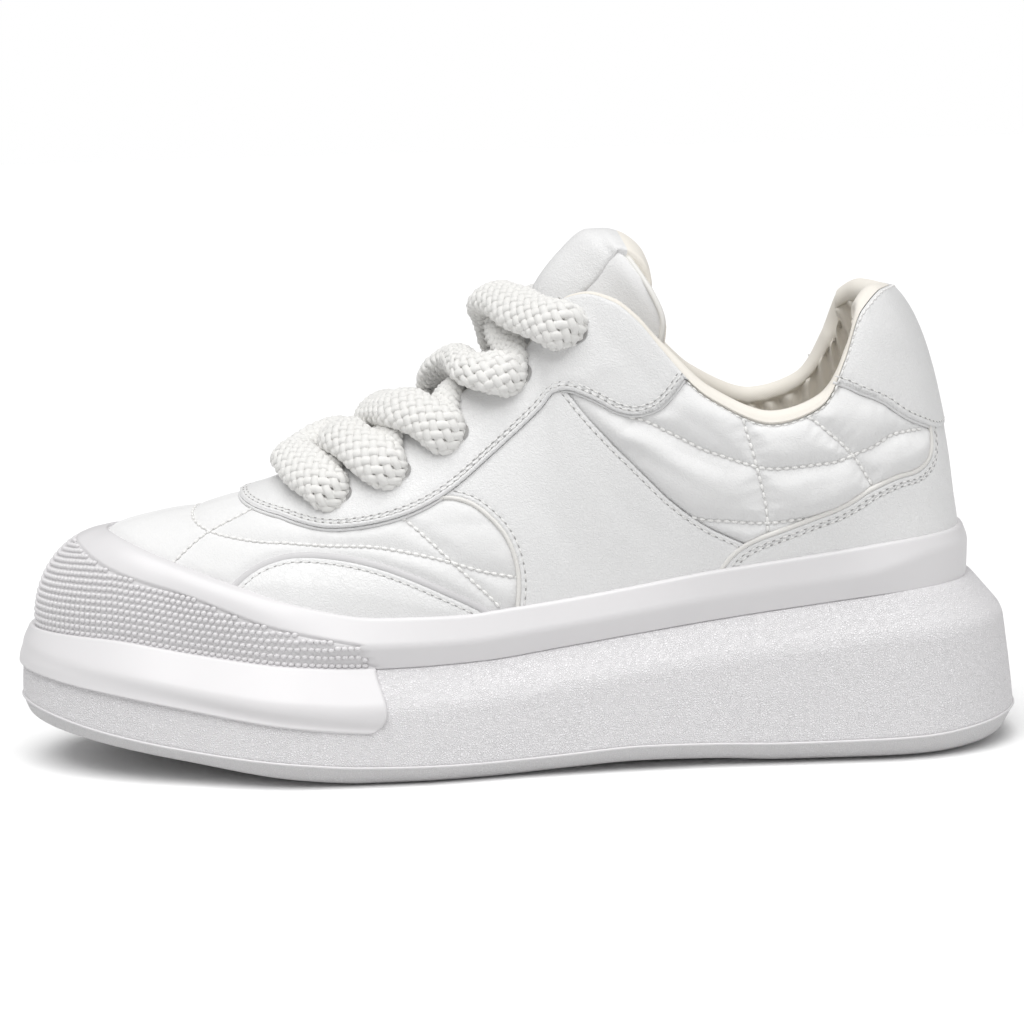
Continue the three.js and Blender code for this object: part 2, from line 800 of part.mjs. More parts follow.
const finishes = {
  rubber: { color: 0xf1f1f0, roughness: 0.5, metalness: 0 },
  platform: { color: 0xe9e8e6, roughness: 0.75, metalness: 0 },
  leather: { color: 0xf4f3f1, roughness: 0.42, metalness: 0 },
  quilting: { color: 0xf2f1ee, roughness: 0.7, metalness: 0 },
  lining: { color: 0xece6dc, roughness: 0.9, metalness: 0 },
  braid: { color: 0xf4f2ee, roughness: 0.85, metalness: 0 },
};

const shoe = new THREE.Group();

function add(name, geometry, finish) {
  const mesh = new THREE.Mesh(geometry, new THREE.MeshStandardMaterial(finishes[finish]));
  mesh.name = name;
  shoe.add(mesh);
}

add("outsole", outsole(), "platform");
add("midsole", midsole(), "platform");
add("sidewall", sidewall(), "rubber");
add("toe_bumper", toeBumper(), "rubber");
add("upper", upper(), "quilting");
add("eyestay_outer", eyestayHalf("outer"), "leather");
add("eyestay_inner", eyestayHalf("inner"), "leather");
add("heel_tab", heelTabPatch(), "leather");
add("tongue", tongue(), "quilting");
add("insole", insole(), "lining");
add("laces", laces(), "braid");

export default shoe;
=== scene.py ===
# Platform sneaker, left foot: the looks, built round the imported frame.
# The shoe's own drawing is in millimetres, toe towards -X and outer side towards -Y.
import math

import bmesh
import bpy
import numpy as np
from mathutils import Matrix, Vector, geometry
from mathutils.kdtree import KDTree


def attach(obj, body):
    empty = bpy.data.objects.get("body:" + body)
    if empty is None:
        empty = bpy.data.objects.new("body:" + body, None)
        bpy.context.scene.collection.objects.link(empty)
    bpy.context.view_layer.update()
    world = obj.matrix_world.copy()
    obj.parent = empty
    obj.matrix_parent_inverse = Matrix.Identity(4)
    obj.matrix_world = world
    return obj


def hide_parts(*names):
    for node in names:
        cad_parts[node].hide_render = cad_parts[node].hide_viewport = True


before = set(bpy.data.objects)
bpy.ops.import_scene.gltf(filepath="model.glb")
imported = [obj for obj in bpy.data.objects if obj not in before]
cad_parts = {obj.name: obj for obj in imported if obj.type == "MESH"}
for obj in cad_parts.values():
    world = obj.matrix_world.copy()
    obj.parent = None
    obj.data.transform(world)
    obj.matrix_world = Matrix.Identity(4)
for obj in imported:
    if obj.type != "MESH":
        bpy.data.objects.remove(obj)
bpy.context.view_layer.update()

mm = 0.001
outer, inner = -1, 1  # the sides of the shoe, as signs of Y
print("frame loaded")

# Small helpers.


def smooth(xs, ys):  # a curve through the values that never overshoots them
    xs, ys = np.array(xs, float), np.array(ys, float)
    gaps = np.diff(xs)
    rise = np.diff(ys) / gaps
    slope = np.zeros(len(xs))
    slope[0], slope[-1] = rise[0], rise[-1]
    for k in range(1, len(xs) - 1):
        if rise[k - 1] * rise[k] > 0:
            a, b = 2 * gaps[k] + gaps[k - 1], gaps[k] + 2 * gaps[k - 1]
            slope[k] = (a + b) / (a / rise[k - 1] + b / rise[k])

    def value(x):
        x = np.clip(x, xs[0], xs[-1])
        k = np.clip(np.searchsorted(xs, x, side="right") - 1, 0, len(xs) - 2)
        h = xs[k + 1] - xs[k]
        s = (x - xs[k]) / h
        r = 1 - s
        low = (1 + 2 * s) * r * r * ys[k] + s * r * r * h * slope[k]
        return low + s * s * (3 - 2 * s) * ys[k + 1] - s * s * r * h * slope[k + 1]

    return value


def ease(s):
    s = np.clip(s, 0, 1)
    return s * s * (3 - 2 * s)


def mix(a, b, s):
    return a + (b - a) * s


def length(v):
    return np.linalg.norm(v, axis=-1)


def unit(v):
    return v / np.maximum(length(v), 1e-9)[..., None]


def dot(a, b):
    return np.sum(a * b, axis=-1)


def xyz(x, y, z):
    return np.stack(np.broadcast_arrays(x, y, z), -1).astype(float)


def runAlong(path):  # how far along a path each of its points is
    return np.concatenate([[0], np.cumsum(length(np.diff(path, axis=0)))])


def treeOf(points):
    tree = KDTree(len(points))
    for k, p in enumerate(points):
        tree.insert(p, k)
    tree.balance()
    return tree


def gridFaces(rows, cols, wrapRows=False, wrapCols=False, start=0):
    i, j = np.meshgrid(np.arange(rows - (not wrapRows)), np.arange(cols - (not wrapCols)), indexing="ij")
    i2, j2 = (i + 1) % rows, (j + 1) % cols
    corners = [i * cols + j, i2 * cols + j, i2 * cols + j2, i * cols + j2]
    return start + np.stack(corners, -1).reshape(-1, 4)


def dress(name, mesh, slot, replaces=(), padFill=None):
    piece = bpy.data.objects.new(name, mesh)
    bpy.context.collection.objects.link(piece)
    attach(piece, "root")
    if replaces:
        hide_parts(*replaces)


weld = 4e-6  # points closer than this are merged, in metres


def addPiece(name, points, faces, slots, materials, clean, *rest):
    mesh = bpy.data.meshes.new(name)
    mesh.from_pydata((points * mm).tolist(), [], faces)
    mesh.polygons.foreach_set("material_index", np.array(slots, np.int32))
    for label in materials:
        mesh.materials.append(finishes[label])
    bm = bmesh.new()
    bm.from_mesh(mesh)
    bmesh.ops.remove_doubles(bm, verts=bm.verts, dist=weld)
    if clean:
        bmesh.ops.dissolve_degenerate(bm, dist=weld / 4, edges=bm.edges)
    for face in bm.faces:
        face.smooth = True
    bm.to_mesh(mesh)
    bm.free()
    dress(name, mesh, *rest)


# Grids of points in millimetres become one smooth piece. The rest is its slot, the nodes it stands for and its fill;
# the slot and the fill are not used.
def makePiece(name, grids, materials, *rest):
    faces, slots, at = [], [], 0
    for grid in grids:
        rows, cols = grid["points"].shape[:2]
        found = gridFaces(rows, cols, grid.get("wrapRows", False), grid.get("wrapCols", False), at)
        faces += (found[:, ::-1] if grid.get("flip") else found).tolist()
        slots += [grid.get("material", 0)] * len(found)
        at += rows * cols
    points = np.concatenate([grid["points"].reshape(-1, 3) for grid in grids])
    addPiece(name, points, faces, slots, materials, True, *rest)


# A run of points with its corners rounded off: corners is a list of point arrays, radii in millimetres.
def rounded(corners, radii, arcSteps=5, straightSteps=1):
    rows = []
    count = len(corners)
    for k, corner in enumerate(corners):
        if 0 < k < count - 1 and radii[k] > 0:
            before, after = corners[k - 1] - corner, corners[k + 1] - corner
            a = corner + unit(before) * np.minimum(radii[k], 0.45 * length(before))[..., None]
            b = corner + unit(after) * np.minimum(radii[k], 0.45 * length(after))[..., None]
            for s in np.linspace(0, 1, arcSteps + 1):
                rows.append((1 - s) ** 2 * a + 2 * s * (1 - s) * corner + s * s * b)
        else:
            rows.append(corner)
        if k < count - 1 and straightSteps > 1:
            rows.append(("straight", straightSteps))
    out = []
    for k, row in enumerate(rows):
        if isinstance(row, tuple):
            last, following = out[-1], rows[k + 1]
            out += [mix(last, following, s) for s in np.linspace(0, 1, row[1] + 1)[1:-1]]
        else:
            out.append(row)
    return np.stack(out)


# Plan of the sole.

halfLength = 145.0
toeRound = {"length": 88, "power": 2.15}
heelRound = {"length": 46, "power": 2.3}
toeSwing = {"from": -40, "length": 105, "across": 4, "power": 1.5}
planX = [-145, -100, -60, -30, 0, 30, 60, 100, 145]
planWidth = {
    outer: smooth(planX, [47, 48, 53.8, 53, 48, 44.5, 43, 43.5, 43.5]),
    inner: smooth(planX, [50, 51, 53.2, 50, 43, 40, 40.5, 43, 43.5]),
}
levels = {  # where each level's ends are, and how far its sides come in
    "ground": {"toe": -128, "heel": 131, "inset": 11},
    "tread": {"toe": -142, "heel": 141.5, "inset": 3.5},
    "rim": {"toe": -143.8, "heel": 145, "inset": 0},
    "crease": {"toe": -142.26, "heel": 141.3, "inset": 2.2},
    "shelf": {"toe": -139.6, "heel": 133.2, "inset": 8.5},
    "feather": {"toe": -133.5, "heel": 129.6, "inset": 12},
}
heightX = [-145, -116, -90, -62, -44, -10, 12, 35, 56, 74, 112, 145]
levelHeight = {
    "ground": smooth(heightX, [11.5, 8.2, 4.6, 1.2, 0, 0, 1.0, 1.7, 0.8, 0, 0, 0.8]),
    "tread": smooth(heightX, [15, 9.8, 5.8, 2.0, 0.6, 0.5, 1.4, 2.3, 2.0, 1.2, 1.2, 2.6]),
    "rim": smooth(heightX, [20, 13.6, 9.6, 7.0, 5.6, 5.0, 5.8, 7.0, 6.7, 6.2, 6.6, 9.4]),
    "crease": smooth(heightX, [33, 29.5, 26, 23, 21.6, 23, 25.5, 28.6, 30.8, 32.6, 36.2, 37.6]),
    "shelf": smooth(heightX, [40, 39.4, 36, 33, 32.1, 32.8, 35.2, 38.2, 41, 43.3, 47.2, 48.3]),
}
levelHeight["feather"] = levelHeight["shelf"]


def stationX(w):
    return -halfLength * np.cos(np.pi * np.asarray(w, float))


def stationAt(x):
    return np.arccos(np.clip(-np.asarray(x, float) / halfLength, -1, 1)) / np.pi


def middle(x):
    return toeSwing["across"] * np.clip((toeSwing["from"] - x) / toeSwing["length"], 0, 1) ** toeSwing["power"]


def roundOff(share, power):
    return np.clip(1 - share ** power, 0, 1) ** (1 / power)


def folded(w, side, *others):  # past the toe or heel, a station is on the other side
    w, side, *others = np.broadcast_arrays(*(np.asarray(v, float) for v in (w, side, *others)))
    side = np.where((w < 0) | (w > 1), -side, side)
    return np.where(w < 0, -w, np.where(w > 1, 2 - w, w)), side, *others


def outline(level, w, side, inwards=0.0):
    w, side = folded(w, side)
    x = stationX(w)
    toeShare = np.clip((toeRound["length"] - halfLength - x) / toeRound["length"], 0, 1)
    heelShare = np.clip((x - halfLength + heelRound["length"]) / heelRound["length"], 0, 1)
    ends = roundOff(toeShare, toeRound["power"]) * roundOff(heelShare, heelRound["power"])
    row = levels[level]
    width = np.where(side < 0, planWidth[outer](x), planWidth[inner](x))
    along = x + (row["toe"] + halfLength + inwards) * toeShare + (row["heel"] - halfLength - inwards) * heelShare
    reach = (width - row["inset"] - inwards) * ends
    return xyz(along, middle(x) + side * reach, levelHeight[level](along))


def planNormal(w, side):
    step = outline("feather", w + 1e-3, side) - outline("feather", w - 1e-3, side)
    return unit(xyz(step[..., 1], -step[..., 0], 0 * step[..., 0]) * -np.asarray(side, float)[..., None])


# The upper's outer form.

sideLines = np.array([  # at, x, y, z of the top, then rise, swell, reach and drop
    [-145, -112, 0, 68.0, 14, 2, 14, 0],
    [-138, -110.5, 0, 68.8, 14, 2, 14, 0],
    [-125, -107.5, 0, 69.6, 14, 2, 18, 0],
    [-108, -100.5, 0, 71.1, 15, 2, 22, 0],
    [-88, -89, 0, 73.1, 15, 2, 24, 0],
    [-68, -74, 0, 77.0, 15, 2, 24, 0],
    [-61, -68, 0.8, 78.7, 15.5, 2, 23.2, 0.6],
    [-55, -63, 3.2, 80.5, 16, 2, 21.2, 2.4],
    [-45, -54, 9.4, 84.2, 17, 2, 17.4, 6],
    [-28, -33, 14, 93, 20, 2, 15, 10],
    [-8, -10, 15.5, 105.5, 25, 2, 13, 14],
    [9, 9, 17.3, 119.8, 29, 2, 12, 19.8],
    [14, 13, 18.3, 127.6, 29.6, 2, 11.8, 22.2],
    [19, 17.5, 19.6, 131.6, 30, 2, 11.4, 24.8],
    [25, 23, 21.6, 132.7, 30, 2, 10.5, 27],
    [32, 30, 24.5, 130.7, 29.6, 2, 9, 28],
    [38, 36.3, 26.8, 125.8, 28, 2.2, 7.5, 26.4],
    [44, 42.5, 29, 118.5, 26, 2.5, 6, 24],
    [58, 56, 33, 105, 20, 3, 4.5, 18],
    [74, 73, 34.5, 97.7, 18, 3.5, 4, 16],
    [90, 87, 32.5, 102, 20, 3, 5, 15],
    [106, 94.5, 28, 114.5, 25, 1, 7, 14],
    [122, 99.5, 22.5, 127.5, 29, -1, 9, 12],
    [136, 105, 13, 131.5, 30, -2, 12, 10],
    [145, 109, 0, 131, 30, -2.5, 14.5, 9],
])
sideLine = {
    name: smooth(stationAt(sideLines[:, 0]), sideLines[:, k + 1])
    for k, name in enumerate(["x", "y", "z", "rise", "swell", "reach", "drop"])
}
ridgeSlope = smooth([-112, -89, -63], [0.14, 0.19, 0.3])
throat = {"x": -63, "blend": 9, "w": float(stationAt(-55))}
wall = {"vamp": 2.4, "collar": 5.6}


def formPoint(w, t, side):
    w, side, t = folded(w, side, t)
    base = outline("feather", w, side)
    out = planNormal(w, side)
    x, z = sideLine["x"](w), sideLine["z"](w)
    top = xyz(x, middle(x) + side * sideLine["y"](w), z)
    reach = sideLine["reach"](w)
    onRidge = np.clip((throat["x"] + throat["blend"] - x) / throat["blend"], 0, 1)
    lean = out[..., 0] * reach * ridgeSlope(x) * onRidge - sideLine["drop"](w)
    low = base + out * sideLine["swell"](w)[..., None]
    low[..., 2] += sideLine["rise"](w)
    high = top + out * reach[..., None]
    high[..., 2] += lean
    t = t[..., None]
    s = 1 - t
    return s ** 3 * base + 3 * s * s * t * low + 3 * s * t * t * high + t ** 3 * top


def formNormal(w, t, side):
    w, t, side = np.broadcast_arrays(np.asarray(w, float), np.asarray(t, float), np.asarray(side, float))
    e = 2e-3
    along = formPoint(w + e, t, side) - formPoint(w - e, t, side)
    up = formPoint(w, np.minimum(t + e, 1), side) - formPoint(w, np.maximum(t - e, 0), side)
    found = unit(np.cross(along, up) * -side[..., None])
    x = sideLine["x"](np.clip(w, 0, 1))
    onRidge = unit(xyz(-ridgeSlope(x), 0, 1))
    share = np.where(w <= throat["w"], ease((t - 0.9) / 0.1), 0)[..., None]
    return unit(mix(found, onRidge, share))


def onForm(w, t, side, height):
    return formPoint(w, t, side) + formNormal(w, t, side) * np.asarray(height, float)[..., None]


def wallAt(w, t):
    collar = ease((stationX(w) - 26) / 26)
    return mix(wall["vamp"], mix(wall["vamp"], wall["collar"], collar), ease((t - 0.35) / 0.5))


def shiftLine(w, t, side, distance):  # moves a line sideways on the form, by millimetres
    e = 1e-3
    byW = (formPoint(w + e, t, side) - formPoint(w - e, t, side)) / (2 * e)
    byT = (formPoint(w, t + e, side) - formPoint(w, t - e, side)) / (2 * e)
    path = formPoint(w, t, side)
    tangent = unit(np.gradient(path, axis=0))
    normal = unit(np.cross(byW, byT) * -side)
    across = np.cross(normal, tangent) * np.asarray(distance, float)[..., None]
    ww, wt, tt = dot(byW, byW), dot(byW, byT), dot(byT, byT)
    a, b = dot(byW, across), dot(byT, across)
    spare = ww * tt - wt * wt
    return w + (a * tt - b * wt) / spare, t + (b * ww - a * wt) / spare


bandTopHeight = smooth(
    [-118.4, -98.5, -76, -61, -39, -17, 0, 20, 35, 57, 85, 110, 131],
    [67.6, 60.5, 53.4, 49.0, 45.6, 45.5, 47.0, 49.4, 51.7, 55.3, 58.9, 61.6, 62.6],
)


def findBandEnd(w, side):
    low, high = np.zeros(np.shape(w)), np.ones(np.shape(w))
    for _ in range(30):
        t = (low + high) / 2
        p = formPoint(w, t, side)
        below = p[..., 2] < bandTopHeight(p[..., 0])
        low, high = np.where(below, t, low), np.where(below, high, t)
    return (low + high) / 2


fineW = np.linspace(0, 1, 301)
bandEndTable = {side: findBandEnd(fineW, side) for side in (outer, inner)}


def bandEnd(w, side):
    w = np.asarray(w, float)
    return np.where(np.asarray(side) < 0, np.interp(w, fineW, bandEndTable[outer]),
                    np.interp(w, fineW, bandEndTable[inner]))


# Stations spaced evenly along the side of the upper.
def evenStations(count, level=0.3, start=0.0, stop=1.0):
    w = np.linspace(start, stop, 1200)
    run = runAlong(formPoint(w, level, outer))
    return np.interp(np.linspace(0, run[-1], count + 1), run, w)


def spaced(w, t, step, side=outer):
    run = runAlong(formPoint(w, t, side))
    at = np.linspace(0, run[-1], max(int(round(run[-1] / step)), 2) + 1)
    return np.interp(at, run, w), np.interp(at, run, t)


# A full turn round the shoe: up the outer side and back down the inner one.
def turn(count):
    w = evenStations(count, 0.0)
    ws = np.concatenate([w, w[-2:0:-1]])
    sides = np.concatenate([np.full(len(w), outer), np.full(len(w) - 2, inner)])
    return ws, sides


print("form ready")

# Node trees, from their sockets, their nodes and the links between them.


def nodeTree(name, kind, inputs, outputs):
    tree = bpy.data.node_groups.new(name, kind)
    for label, socket, value in inputs:
        made = tree.interface.new_socket(label, in_out="INPUT", socket_type="NodeSocket" + socket)
        if value is not None:
            made.default_value = value
    for label, socket in outputs:
        tree.interface.new_socket(label, in_out="OUTPUT", socket_type="NodeSocket" + socket)
    return tree, {"start": tree.nodes.new("NodeGroupInput"), "end": tree.nodes.new("NodeGroupOutput")}


def addNode(tree, kind, values=(), **settings):
    node = tree.nodes.new(kind)
    for key, value in settings.items():
        setattr(node, key, value)
    for key, value in dict(values).items():
        node.inputs[key].default_value = value
    return node


def wire(tree, nodes, links):  # each link reads "node.Socket > node.Socket"
    for line in links:
        (source, out), (target, into) = (end.split(".") for end in line.split(" > "))
        out, into = (int(label) if label.isdigit() else label for label in (out, into))
        tree.links.new(nodes[source].outputs[out], nodes[target].inputs[into])


def cellGroup(name, warp, share, crease, noise):  # creased cells with a soft noise between them
    tree, nodes = nodeTree(name, "ShaderNodeTree", [
        ("Cells", "Float", 900.0), ("Swell", "Float", 60.0), ("Swell Share", "Float", 0.4),
    ], [("Height", "Float")])
    nodes.update(
        place=addNode(tree, "ShaderNodeTexCoord"),
        warp=addNode(tree, "ShaderNodeTexNoise", warp),
        bent=addNode(tree, "ShaderNodeMixRGB", {"Fac": share}, blend_type="ADD"),
        cells=addNode(tree, "ShaderNodeTexVoronoi", feature="DISTANCE_TO_EDGE"),
        swell=addNode(tree, "ShaderNodeTexNoise", noise),
        flat=addNode(tree, "ShaderNodeMapRange", {"From Max": crease}),
        blend=addNode(tree, "ShaderNodeMix", data_type="FLOAT"),
    )
    wire(tree, nodes, [
        "place.Object > warp.Vector", "place.Object > bent.Color1", "warp.Color > bent.Color2",
        "bent.Color > cells.Vector", "start.Cells > cells.Scale", "place.Object > swell.Vector",
        "start.Swell > swell.Scale", "cells.Distance > flat.Value", "start.Swell Share > blend.Factor",
        "flat.Result > blend.A", "swell.Fac > blend.B", "blend.Result > end.Height",
    ])
    return tree


def toneGroup():  # one colour drifting gently into another
    tree, nodes = nodeTree("softTone", "ShaderNodeTree", [
        ("Light", "Color", (1, 1, 1, 1)), ("Dark", "Color", (0.9, 0.9, 0.9, 1)), ("Scale", "Float", 18.0),
    ], [("Color", "Color")])
    nodes.update(
        place=addNode(tree, "ShaderNodeTexCoord"),
        drift=addNode(tree, "ShaderNodeTexNoise", {"Detail": 4.0, "Roughness": 0.6}),
        span=addNode(tree, "ShaderNodeMapRange", {"From Min": 0.32, "From Max": 0.68}),
        blend=addNode(tree, "ShaderNodeMix", data_type="RGBA"),
    )
    wire(tree, nodes, [
        "place.Object > drift.Vector", "start.Scale > drift.Scale", "drift.Fac > span.Value",
        "span.Result > blend.Factor", "start.Light > blend.6", "start.Dark > blend.7", "blend.2 > end.Color",
    ])
    return tree


def knitGroup():  # close rows of small loops
    tree, nodes = nodeTree("fineKnit", "ShaderNodeTree", [("Scale", "Float", 1100.0)], [("Height", "Float")])
    nodes.update(
        place=addNode(tree, "ShaderNodeTexCoord"),
        bands=addNode(tree, "ShaderNodeTexWave", {"Distortion": 1.5, "Detail": 1.0}, bands_direction="DIAGONAL"),
        fuzz=addNode(tree, "ShaderNodeTexNoise", {"Scale": 1500.0, "Detail": 2.0}),
        blend=addNode(tree, "ShaderNodeMix", {"Factor": 0.5}, data_type="FLOAT"),
    )
    wire(tree, nodes, [
        "place.Object > bands.Vector", "start.Scale > bands.Scale", "place.Object > fuzz.Vector",
        "bands.Fac > blend.A", "fuzz.Fac > blend.B", "blend.Result > end.Height",
    ])
    return tree


grain = cellGroup("leatherGrain", {"Scale": 420.0, "Detail": 2.0}, 0.004, 0.22, {"Detail": 3.0, "Roughness": 0.55})
pebble = cellGroup("pebbleGrain", {"Scale": 700.0, "Detail": 1.0}, 0.001, 0.3, {"Detail": 2.0, "Roughness": 0.5})
tone, knit = toneGroup(), knitGroup()


# One finish: its two tones, its gloss, its surface relief with the strength and height in millimetres, and how much
# shade is painted into the relief's low parts.
def finish(name, light, dark, rough, reliefTree=None, relief=(), strength=0.0, tall=0.2, sheen=0.0, gloss=0.5,
           hollowShade=0.0):
    material = bpy.data.materials.new(name)
    material.use_nodes = True
    tree = material.node_tree
    surface = tree.nodes["Principled BSDF"]
    surface.inputs["Roughness"].default_value = rough
    surface.inputs["Specular IOR Level"].default_value = gloss
    surface.inputs["Sheen Weight"].default_value = sheen
    nodes = {"surface": surface, "tint": addNode(tree, "ShaderNodeGroup", node_tree=tone)}
    nodes["tint"].inputs["Light"].default_value = (*light, 1)
    nodes["tint"].inputs["Dark"].default_value = (*dark, 1)
    links = ["tint.Color > surface.Base Color"]
    if reliefTree:
        nodes["texture"] = addNode(tree, "ShaderNodeGroup", relief, node_tree=reliefTree)
        nodes["bump"] = addNode(tree, "ShaderNodeBump", {"Strength": strength, "Distance": tall * mm})
        links += ["texture.Height > bump.Height", "bump.Normal > surface.Normal"]
    if hollowShade:  # painted shade: the low parts of the relief are painted a little darker
        nodes["shade"] = addNode(tree, "ShaderNodeMapRange", {"To Min": 1 - hollowShade})
        nodes["darker"] = addNode(tree, "ShaderNodeMixRGB", {"Fac": 1.0}, blend_type="MULTIPLY")
        links[:1] = ["texture.Height > shade.Value", "tint.Color > darker.Color1", "shade.Result > darker.Color2",
                     "darker.Color > surface.Base Color"]
    wire(tree, nodes, links)
    return material


def cells(size, swell, share):
    return {"Cells": size, "Swell": swell, "Swell Share": share}


# Some finishes have shade painted into the low parts of their relief.
finishes = {
    "leather": finish("whiteLeather", (0.81, 0.809, 0.808), (0.785, 0.784, 0.783), 0.42,
                      grain, cells(950.0, 260.0, 0.45), 0.65, 0.16, hollowShade=0.03),
    "quilting": finish("softQuilting", (0.80, 0.799, 0.798), (0.78, 0.778, 0.776), 0.72,
                       grain, cells(900.0, 160.0, 0.5), 0.55, 0.15, gloss=0.25),
    "rubber": finish("smoothRubber", (0.745, 0.732, 0.74), (0.725, 0.714, 0.722), 0.36,
                     pebble, cells(1800.0, 1800.0, 0.4), 0.05, 0.02),
    "platform": finish("grainedFoam", (0.90, 0.887, 0.90), (0.88, 0.867, 0.88), 0.5,
                       pebble, cells(1650.0, 1650.0, 0.2), 0.8, 0.26, hollowShade=0.16),
    "tread": finish("treadRubber", (0.76, 0.752, 0.757), (0.73, 0.722, 0.727), 0.6,
                    pebble, cells(1650.0, 1650.0, 0.2), 0.6, 0.2, hollowShade=0.12),
    "lining": finish("creamLining", (0.86, 0.825, 0.76), (0.82, 0.78, 0.71), 0.85,
                     knit, {"Scale": 900.0}, 0.3, 0.15, sheen=0.25),
    "piping": finish("creamPiping", (0.79, 0.778, 0.75), (0.75, 0.738, 0.71), 0.55,
                     grain, cells(1500.0, 120.0, 0.4), 0.2, 0.08),
    # grey tape finish: its own grey, darkened further as painted shade for the tape's bevel
    "edge": finish("greyTapeAndShade", (0.62, 0.612, 0.618), (0.58, 0.572, 0.578), 0.7),
    "braid": finish("braidedYarn", (0.85, 0.843, 0.825), (0.80, 0.793, 0.77), 0.75,
                    knit, {"Scale": 2600.0}, 0.3, 0.12, sheen=0.2),
    "thread": finish("greyThread", (0.78, 0.775, 0.765), (0.72, 0.715, 0.70), 0.6),
    "whiteThread": finish("whiteThread", (0.87, 0.865, 0.85), (0.83, 0.825, 0.81), 0.5),
    # painted shade: this dark finish stands in for the shade inside needle holes and lace holes
    "hole": finish("holeShade", (0.38, 0.375, 0.37), (0.32, 0.315, 0.31), 0.9),
    # painted shade: a greyer finish for the dimples where the thread sinks into the padding
    "dimpleShade": finish("stitchDimpleShade", (0.72, 0.71, 0.69), (0.68, 0.67, 0.65), 0.8),
}
print("finishes ready")

# Bottom unit.

soleSteps = 230  # stations along each side
turnW, turnSide = turn(soleSteps)


def level(name, lift=0.0, inwards=0.0, w=turnW, side=turnSide):
    p = outline(name, w, side, inwards)
    p[..., 2] += lift
    return p


def acrossRing(ring, steps=8):  # rows of points from the outer side of a ring to its inner side
    half = len(ring) // 2 + 1
    innerSide = np.concatenate([ring[:1], ring[:half - 1:-1], ring[half - 1:half]])
    return mix(ring[None, :half], innerSide[None], np.linspace(0, 1, steps + 1)[:, None, None])


def closeAcross(ring, flip=False):
    return {"points": acrossRing(ring), "flip": flip}


treadShape = {"pitch": 11, "groove": 3.2, "depth": 1.8, "edge": 7, "rib": 3.4, "ribDepth": 0.5, "rows": 64,
              "corner": 2.2, "rim": 1.2, "wave": 1.6, "waveRate": 0.28, "chevron": 3, "chevronRate": 0.22}
flatPads = [(-47, -8), (71, 114)]  # whole in the frame, so only finely ribbed here


def outsole():
    ground = outline("ground", turnW, turnSide)
    side = rounded([ground, level("tread"), level("rim"), level("rim", 0, treadShape["rim"])],
                   [0, treadShape["corner"], 0.5, 0], 5, 3)
    bottom = acrossRing(ground, treadShape["rows"])
    x, y = bottom[..., 0], bottom[..., 1]
    fromEdge = np.minimum(y - bottom[0, :, 1], bottom[-1, :, 1] - y)
    inField = ease((fromEdge - treadShape["edge"]) / 1.2)
    wave = treadShape["wave"] * np.sin(y * treadShape["waveRate"])
    phase = (x + wave + 118) / treadShape["pitch"]
    away = np.abs(phase - np.round(phase)) * treadShape["pitch"]
    cutDepth = 1 - ease((away - treadShape["groove"] / 2) / 0.7)
    onPad = sum(ease((x - a + 2) / 3) * ease((b + 2 - x) / 3) for a, b in flatPads)
    chevron = treadShape["chevron"] * np.abs(np.sin(y * treadShape["chevronRate"]))
    ribs = 0.5 + 0.5 * np.cos(2 * np.pi * (x + chevron) / treadShape["rib"])
    bottom[..., 2] += inField * mix(treadShape["depth"] * cutDepth, treadShape["ribDepth"] * ribs ** 3, onPad)
    makePiece("outsoleTread", [
        {"points": side, "wrapCols": True, "flip": True}, {"points": bottom, "flip": True}, closeAcross(side[-1]),
    ], ["tread"], "platform", ["outsole"])


platform = {"belly": 0.5, "creaseOut": 0.7, "rimLift": 0.35, "rounding": [0, 0.9, 12, 2.6, 1.4, 0]}


def midsole():  # the platform's section goes from the parting line up to the shelf
    rim, crease = level("rim", platform["rimLift"]), level("crease")
    out = planNormal(turnW, turnSide)
    belly = mix(rim, crease, 0.45) + out * platform["belly"]
    rows = rounded([level("rim", platform["rimLift"], 1.5), rim, belly, crease + out * platform["creaseOut"],
                    level("shelf"), level("shelf", 0, 9)], platform["rounding"], 6, 4)
    makePiece("platformBody", [
        {"points": rows, "wrapCols": True, "flip": True}, closeAcross(rows[0], True), closeAcross(rows[-1]),
    ], ["platform"], "platform", ["midsole"])


def tubeGrid(path, radius, sides=8, closed=False, up=(0.0, 0, 1)):
    tangent = unit(np.gradient(path, axis=0)) if not closed else unit(np.roll(path, -1, 0) - np.roll(path, 1, 0))
    across = unit(np.cross(tangent, np.broadcast_to(np.array(up), path.shape)))
    lift = np.cross(across, tangent)
    angle = (np.arange(sides) * 2 * np.pi / sides)[None, :, None]
    points = path[:, None] + (np.cos(angle) * across[:, None] + np.sin(angle) * lift[:, None]) * radius
    return {"points": points, "wrapCols": True, "wrapRows": closed, "flip": True}


outsole()
midsole()
# the parting line between tread and platform is a thin raised flash
makePiece("partingFlash", [tubeGrid(level("rim", 0.25, 0.05), 0.42, 6, closed=True)], ["rubber"], "platform")
print("platform ready")

# Geometry nodes that repeat a small shape along lines.


